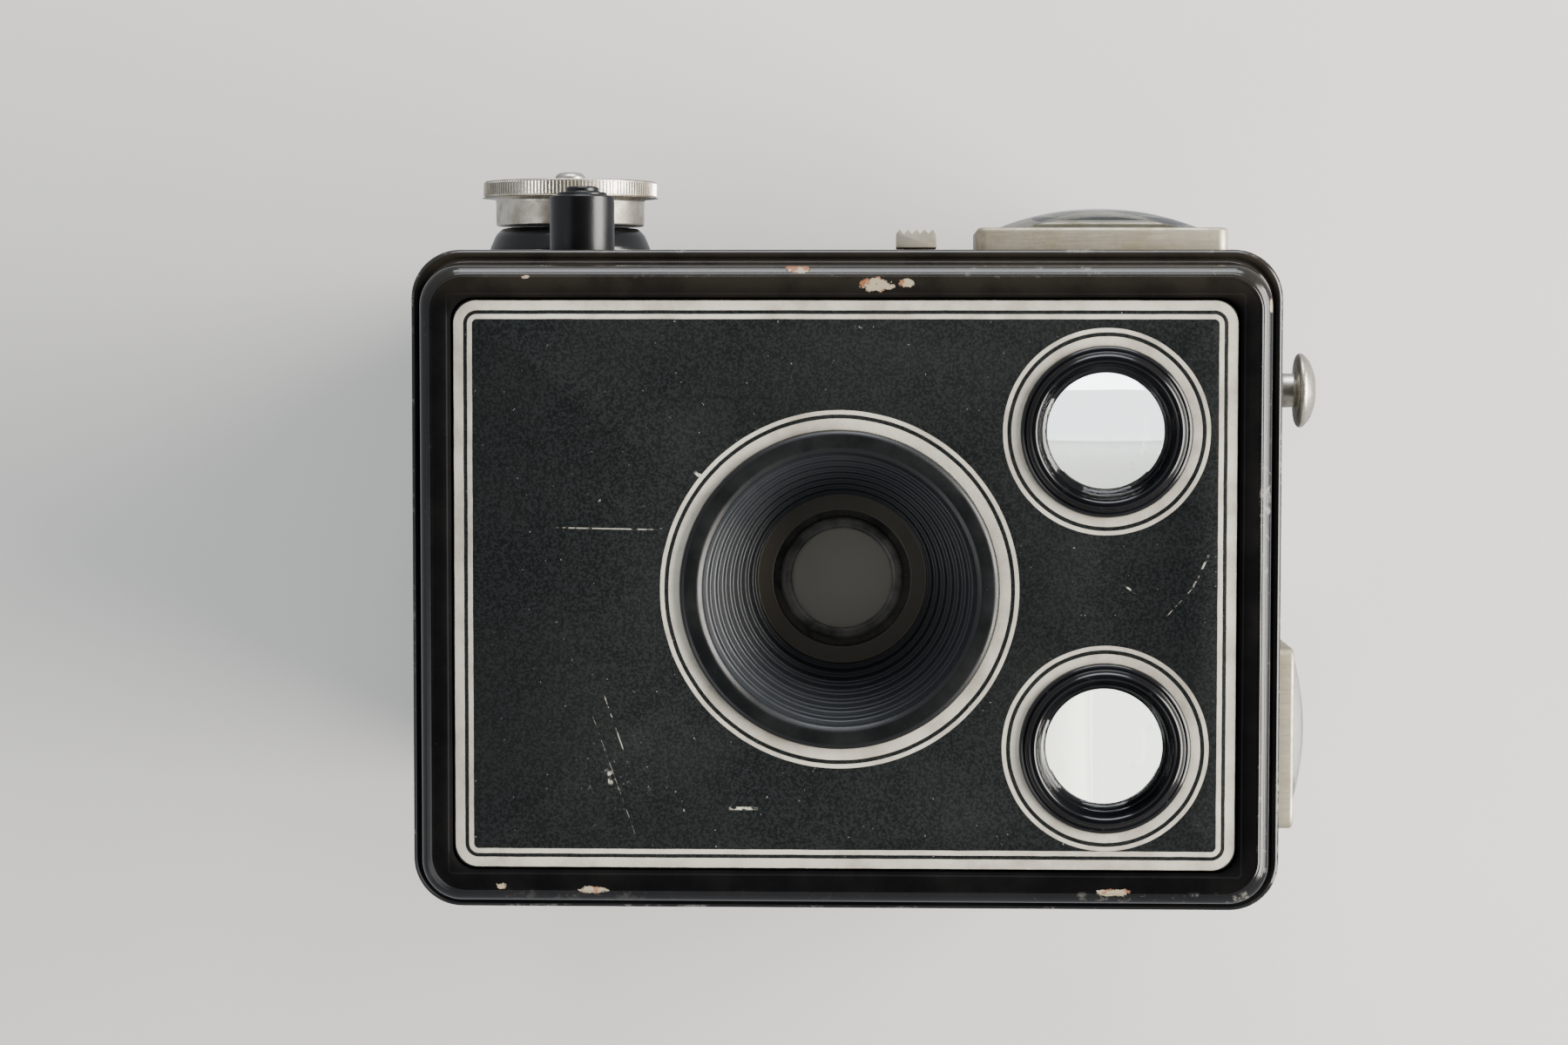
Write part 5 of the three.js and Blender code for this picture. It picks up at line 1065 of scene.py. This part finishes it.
thicken(pan, 0.78)
finish_piece(pan, "pressed_back", "back_door", INNER_ENAMEL, ["back_door"], 40, flip=False)

# %% Hinge knuckle, covering and red window
knuckle = bmesh.new()
bmesh.ops.create_cone(knuckle, cap_ends=True, segments=40, radius1=1.98, radius2=1.98, depth=29.4,
                      matrix=Matrix.Translation((0, middle("hinge_pin")[1], hinge_z))
                      @ Matrix.Rotation(math.radians(90), 4, "Y"))
break_edges(knuckle, keen_edges(knuckle, 1.2), 0.2)
finish_piece(knuckle, "back_knuckle", "back_door", INNER_ENAMEL)

panel_low, panel_high = cover_box
panel_mid = [(a + b) / 2 for a, b in zip(panel_low, panel_high)]
panel = holed_sheet(
    (panel_high[0] - panel_low[0], panel_high[2] - panel_low[2], 4.6, 0),
    [(red[0] - panel_mid[0], red[2] - panel_mid[2], 7.35)], 0.46, 0.15,
)
put(panel, FACING_BACK, panel_mid[0], panel_high[1], panel_mid[2])
finish_piece(panel, "back_panel_cloth", "back_door", LEATHERCLOTH, ["door_covering"], 30)

ring_foot, ring_top = span("red_window_ring")[0][1], span("red_window_ring")[1][1]
ring_line = [(4.4, ring_foot), (4.5, ring_top - 0.12), (5.1, ring_top), (6.6, ring_top),
             (7.2, ring_foot), (4.4, ring_foot)]
finish_piece(put(spun(soften(ring_line, 0.12), 72), FACING_FRONT, red[0], 0, red[2]),
             "red_window_eyelet", "back_door", ENAMEL, ["red_window_ring"], 60)

# %% [markdown]
# ## Catch, hinge and the inside
# The small steel fittings are eased copies. What lies inside keeps its CAD shape, which is right
# already, and gets the finish of the real thing, so that the camera can be looked at open.

# %% Ease the fittings
for name, body, finish, bevel in (
    ("catch_bracket", "camera_body", NICKEL, 0.08), ("back_catch", "back_catch", NICKEL, 0.08),
    ("catch_pin", "camera_body", STEEL, 0.12), ("hinge_leaf", "camera_body", STEEL, 0.08),
    ("hinge_pin", "camera_body", STEEL, 0.12), ("takeup_spool", "takeup_spool", INNER_ENAMEL, 0.1),
    ("supply_spool", "supply_spool", INNER_ENAMEL, 0.1),
    ("roller_top", "roller_top", NICKEL, 0.15), ("roller_bottom", "roller_bottom", NICKEL, 0.15),
):
    eased_copy(name, body, finish, bevel)

# %% Finish the inner nodes
INNER = {
    INNER_BLACK: ["body_shell", "rear_collar", "side_finder_box", "top_finder_box",
                  "carrier_cone", "carrier_side_left", "carrier_side_right", "gate_frame"],
    STEEL: ["shutter_plate", "trip_lever", "return_spring", "key_shaft", "takeup_pin",
            "supply_pin_left", "supply_pin_right", "takeup_spring", "supply_spring"],
    BLADE_STEEL: ["shutter_blade"],
    BRASS: ["blade_pivot", "lever_pivot", "release_guide"],
    SILVERING: ["side_finder_mirror", "top_finder_mirror"],
    RED_CELLULOID: ["red_window"],
}
for finish, names in INNER.items():
    for name in names:
        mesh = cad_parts[name].data
        mesh.materials.clear()
        mesh.materials.append(finish)
print("pieces made:", len(finished))

# %% [markdown]
# ## The stage
# The camera lies on its back on a pale floor, lens up, as such a camera is laid on a table. The
# floor is therefore a plane just behind the back. It is one-sided, so that the back can still be
# looked at from behind it. Round it there is only an even pale room, the world's colour.

# %% Floor
floor_material, floor_tree, floor_shader = blank("pale_floor")
weave = grain(floor_tree, 60.0, 3)
feed(floor_shader, {
    "Roughness": 0.85,
    "Base Color": node(floor_tree, "RGBA", weave, linear("dedcd7"), linear("e6e5e1"))})
facing = node(floor_tree, "NewGeometry", out="Backfacing")
clear = node(floor_tree, "BsdfTransparent")
one_sided = node(floor_tree, "MixShader", facing, floor_shader.outputs[0], clear)
feed(floor_tree.nodes["Material Output"], {"Surface": one_sided})


def stage_disc(name, material, radius, segments, place, unseen):
    """A disc that faces the viewer. Rays of the kinds in unseen pass through it."""
    bm = bmesh.new()
    bmesh.ops.create_circle(bm, cap_ends=True, segments=segments, radius=radius,
                            matrix=Matrix.Translation(place) @ FACING_BACK)
    disc = shaped(bm, name, material)
    for kind in unseen:
        setattr(disc, "visible_" + kind, False)


# The floor is a fifth of a millimetre behind the camera's box.
stage_disc("floor", floor_material, 1.6, 96, (0, cad_high[1] + 0.2 * MM, 0.05),
           ("diffuse", "glossy", "shadow"))

# %% [markdown]
# ## Light
# One large soft window stands beyond the top of the camera and a little in front of it. It gives
# the shine along the shoulder and the pale rims of the turned parts. A weaker panel on the side
# of the controls fills the shadows, and a very weak one lightens the side away from the window.
# Two small panels stand level with the front, where each finder's mirror sees them through its
# window, so that both finders look bright. A dark card hangs where the viewer is, so that the
# black plate stays black instead of mirroring a bright room.

# %% Lamps and card
CENTRE = Vector((0, 0, MID_Z * MM))


def panel_light(name, place, width, height, watts, tint):
    """A rectangular lamp that faces the middle of the camera."""
    lamp = bpy.data.lights.new(name, "AREA")
    lamp.shape = "RECTANGLE"
    lamp.size, lamp.size_y = width, height
    lamp.energy = watts
    lamp.color = linear(tint)[:3]
    made = add_object(name, lamp)
    made.location = place
    made.rotation_mode = "QUATERNION"
    made.rotation_quaternion = (CENTRE - Vector(place)).to_track_quat("-Z", "Y")


panel_light("window_light", (-0.05, -0.5, 1.1), 1.3, 0.7, 52, "fffaf2")
panel_light("side_fill", (-1.1, -0.35, 0.1), 0.5, 0.9, 9, "f2f6ff")
panel_light("far_window", (0.02, -0.03, 1.25), 0.6, 0.6, 4.5, "fffdf8")
panel_light("far_side", (-1.25, -0.03, 0.085), 0.6, 0.6, 4.0, "f4f8ff")
panel_light("low_fill", (0.5, -0.7, -0.8), 0.8, 0.8, 3, "ffffff")
world = bpy.data.worlds.new("soft_room")
bpy.context.scene.world = world
world.use_nodes = True
feed(world.node_tree.nodes["Background"], {"Color": linear("d8dbe0"), "Strength": 0.75})

card_material, _, card_shader = blank("dark_card")
feed(card_shader, {"Base Color": linear("101010"), "Roughness": 0.9})
stage_disc("dark_card", card_material, 0.55, 48, (0, -0.75, 0.05),
           ("camera", "diffuse", "shadow", "transmission"))

# %% [markdown]
# ## The viewer
# The view looks down into the lens from less than half a metre, a little to the top finder's
# side, with the top of the camera towards the right of the picture. It is set by three vectors:
# to the right, up, and back towards the viewer.

# %% Set the camera
VIEW_TURN = Vector((0.05583, 0.03263, 0.00154))
SHIFT = Vector((7.2, 7.6, 408.2))
LENS_MM = 78.0
turn = Matrix.Rotation(VIEW_TURN.length, 3, VIEW_TURN.normalized())
# In the picture's own axes, right is the camera body's +Z, down is +X and away is +Y.
to_body = Matrix(((0, 1, 0), (0, 0, 1), (1, 0, 0)))
inverse = turn.transposed()
place = to_body @ -(inverse @ SHIFT)
right = to_body @ (inverse @ Vector((1, 0, 0)))
up = to_body @ -(inverse @ Vector((0, 1, 0)))
back = to_body @ -(inverse @ Vector((0, 0, 1)))
viewer = bpy.data.cameras.new("viewer")
viewer.sensor_width = 36.0
viewer.lens = LENS_MM
viewer_object = add_object("viewer", viewer)
rows = Matrix((right, up, back)).transposed().to_4x4()
plate_face = FRONT + PLATE
at = Vector((place.x + MID_X, place.y + plate_face, place.z + MID_Z)) * MM
viewer_object.matrix_world = Matrix.Translation(at) @ rows
viewer.clip_start = 0.01
bpy.context.scene.camera = viewer_object
print("viewer at", [round(v, 4) for v in at])
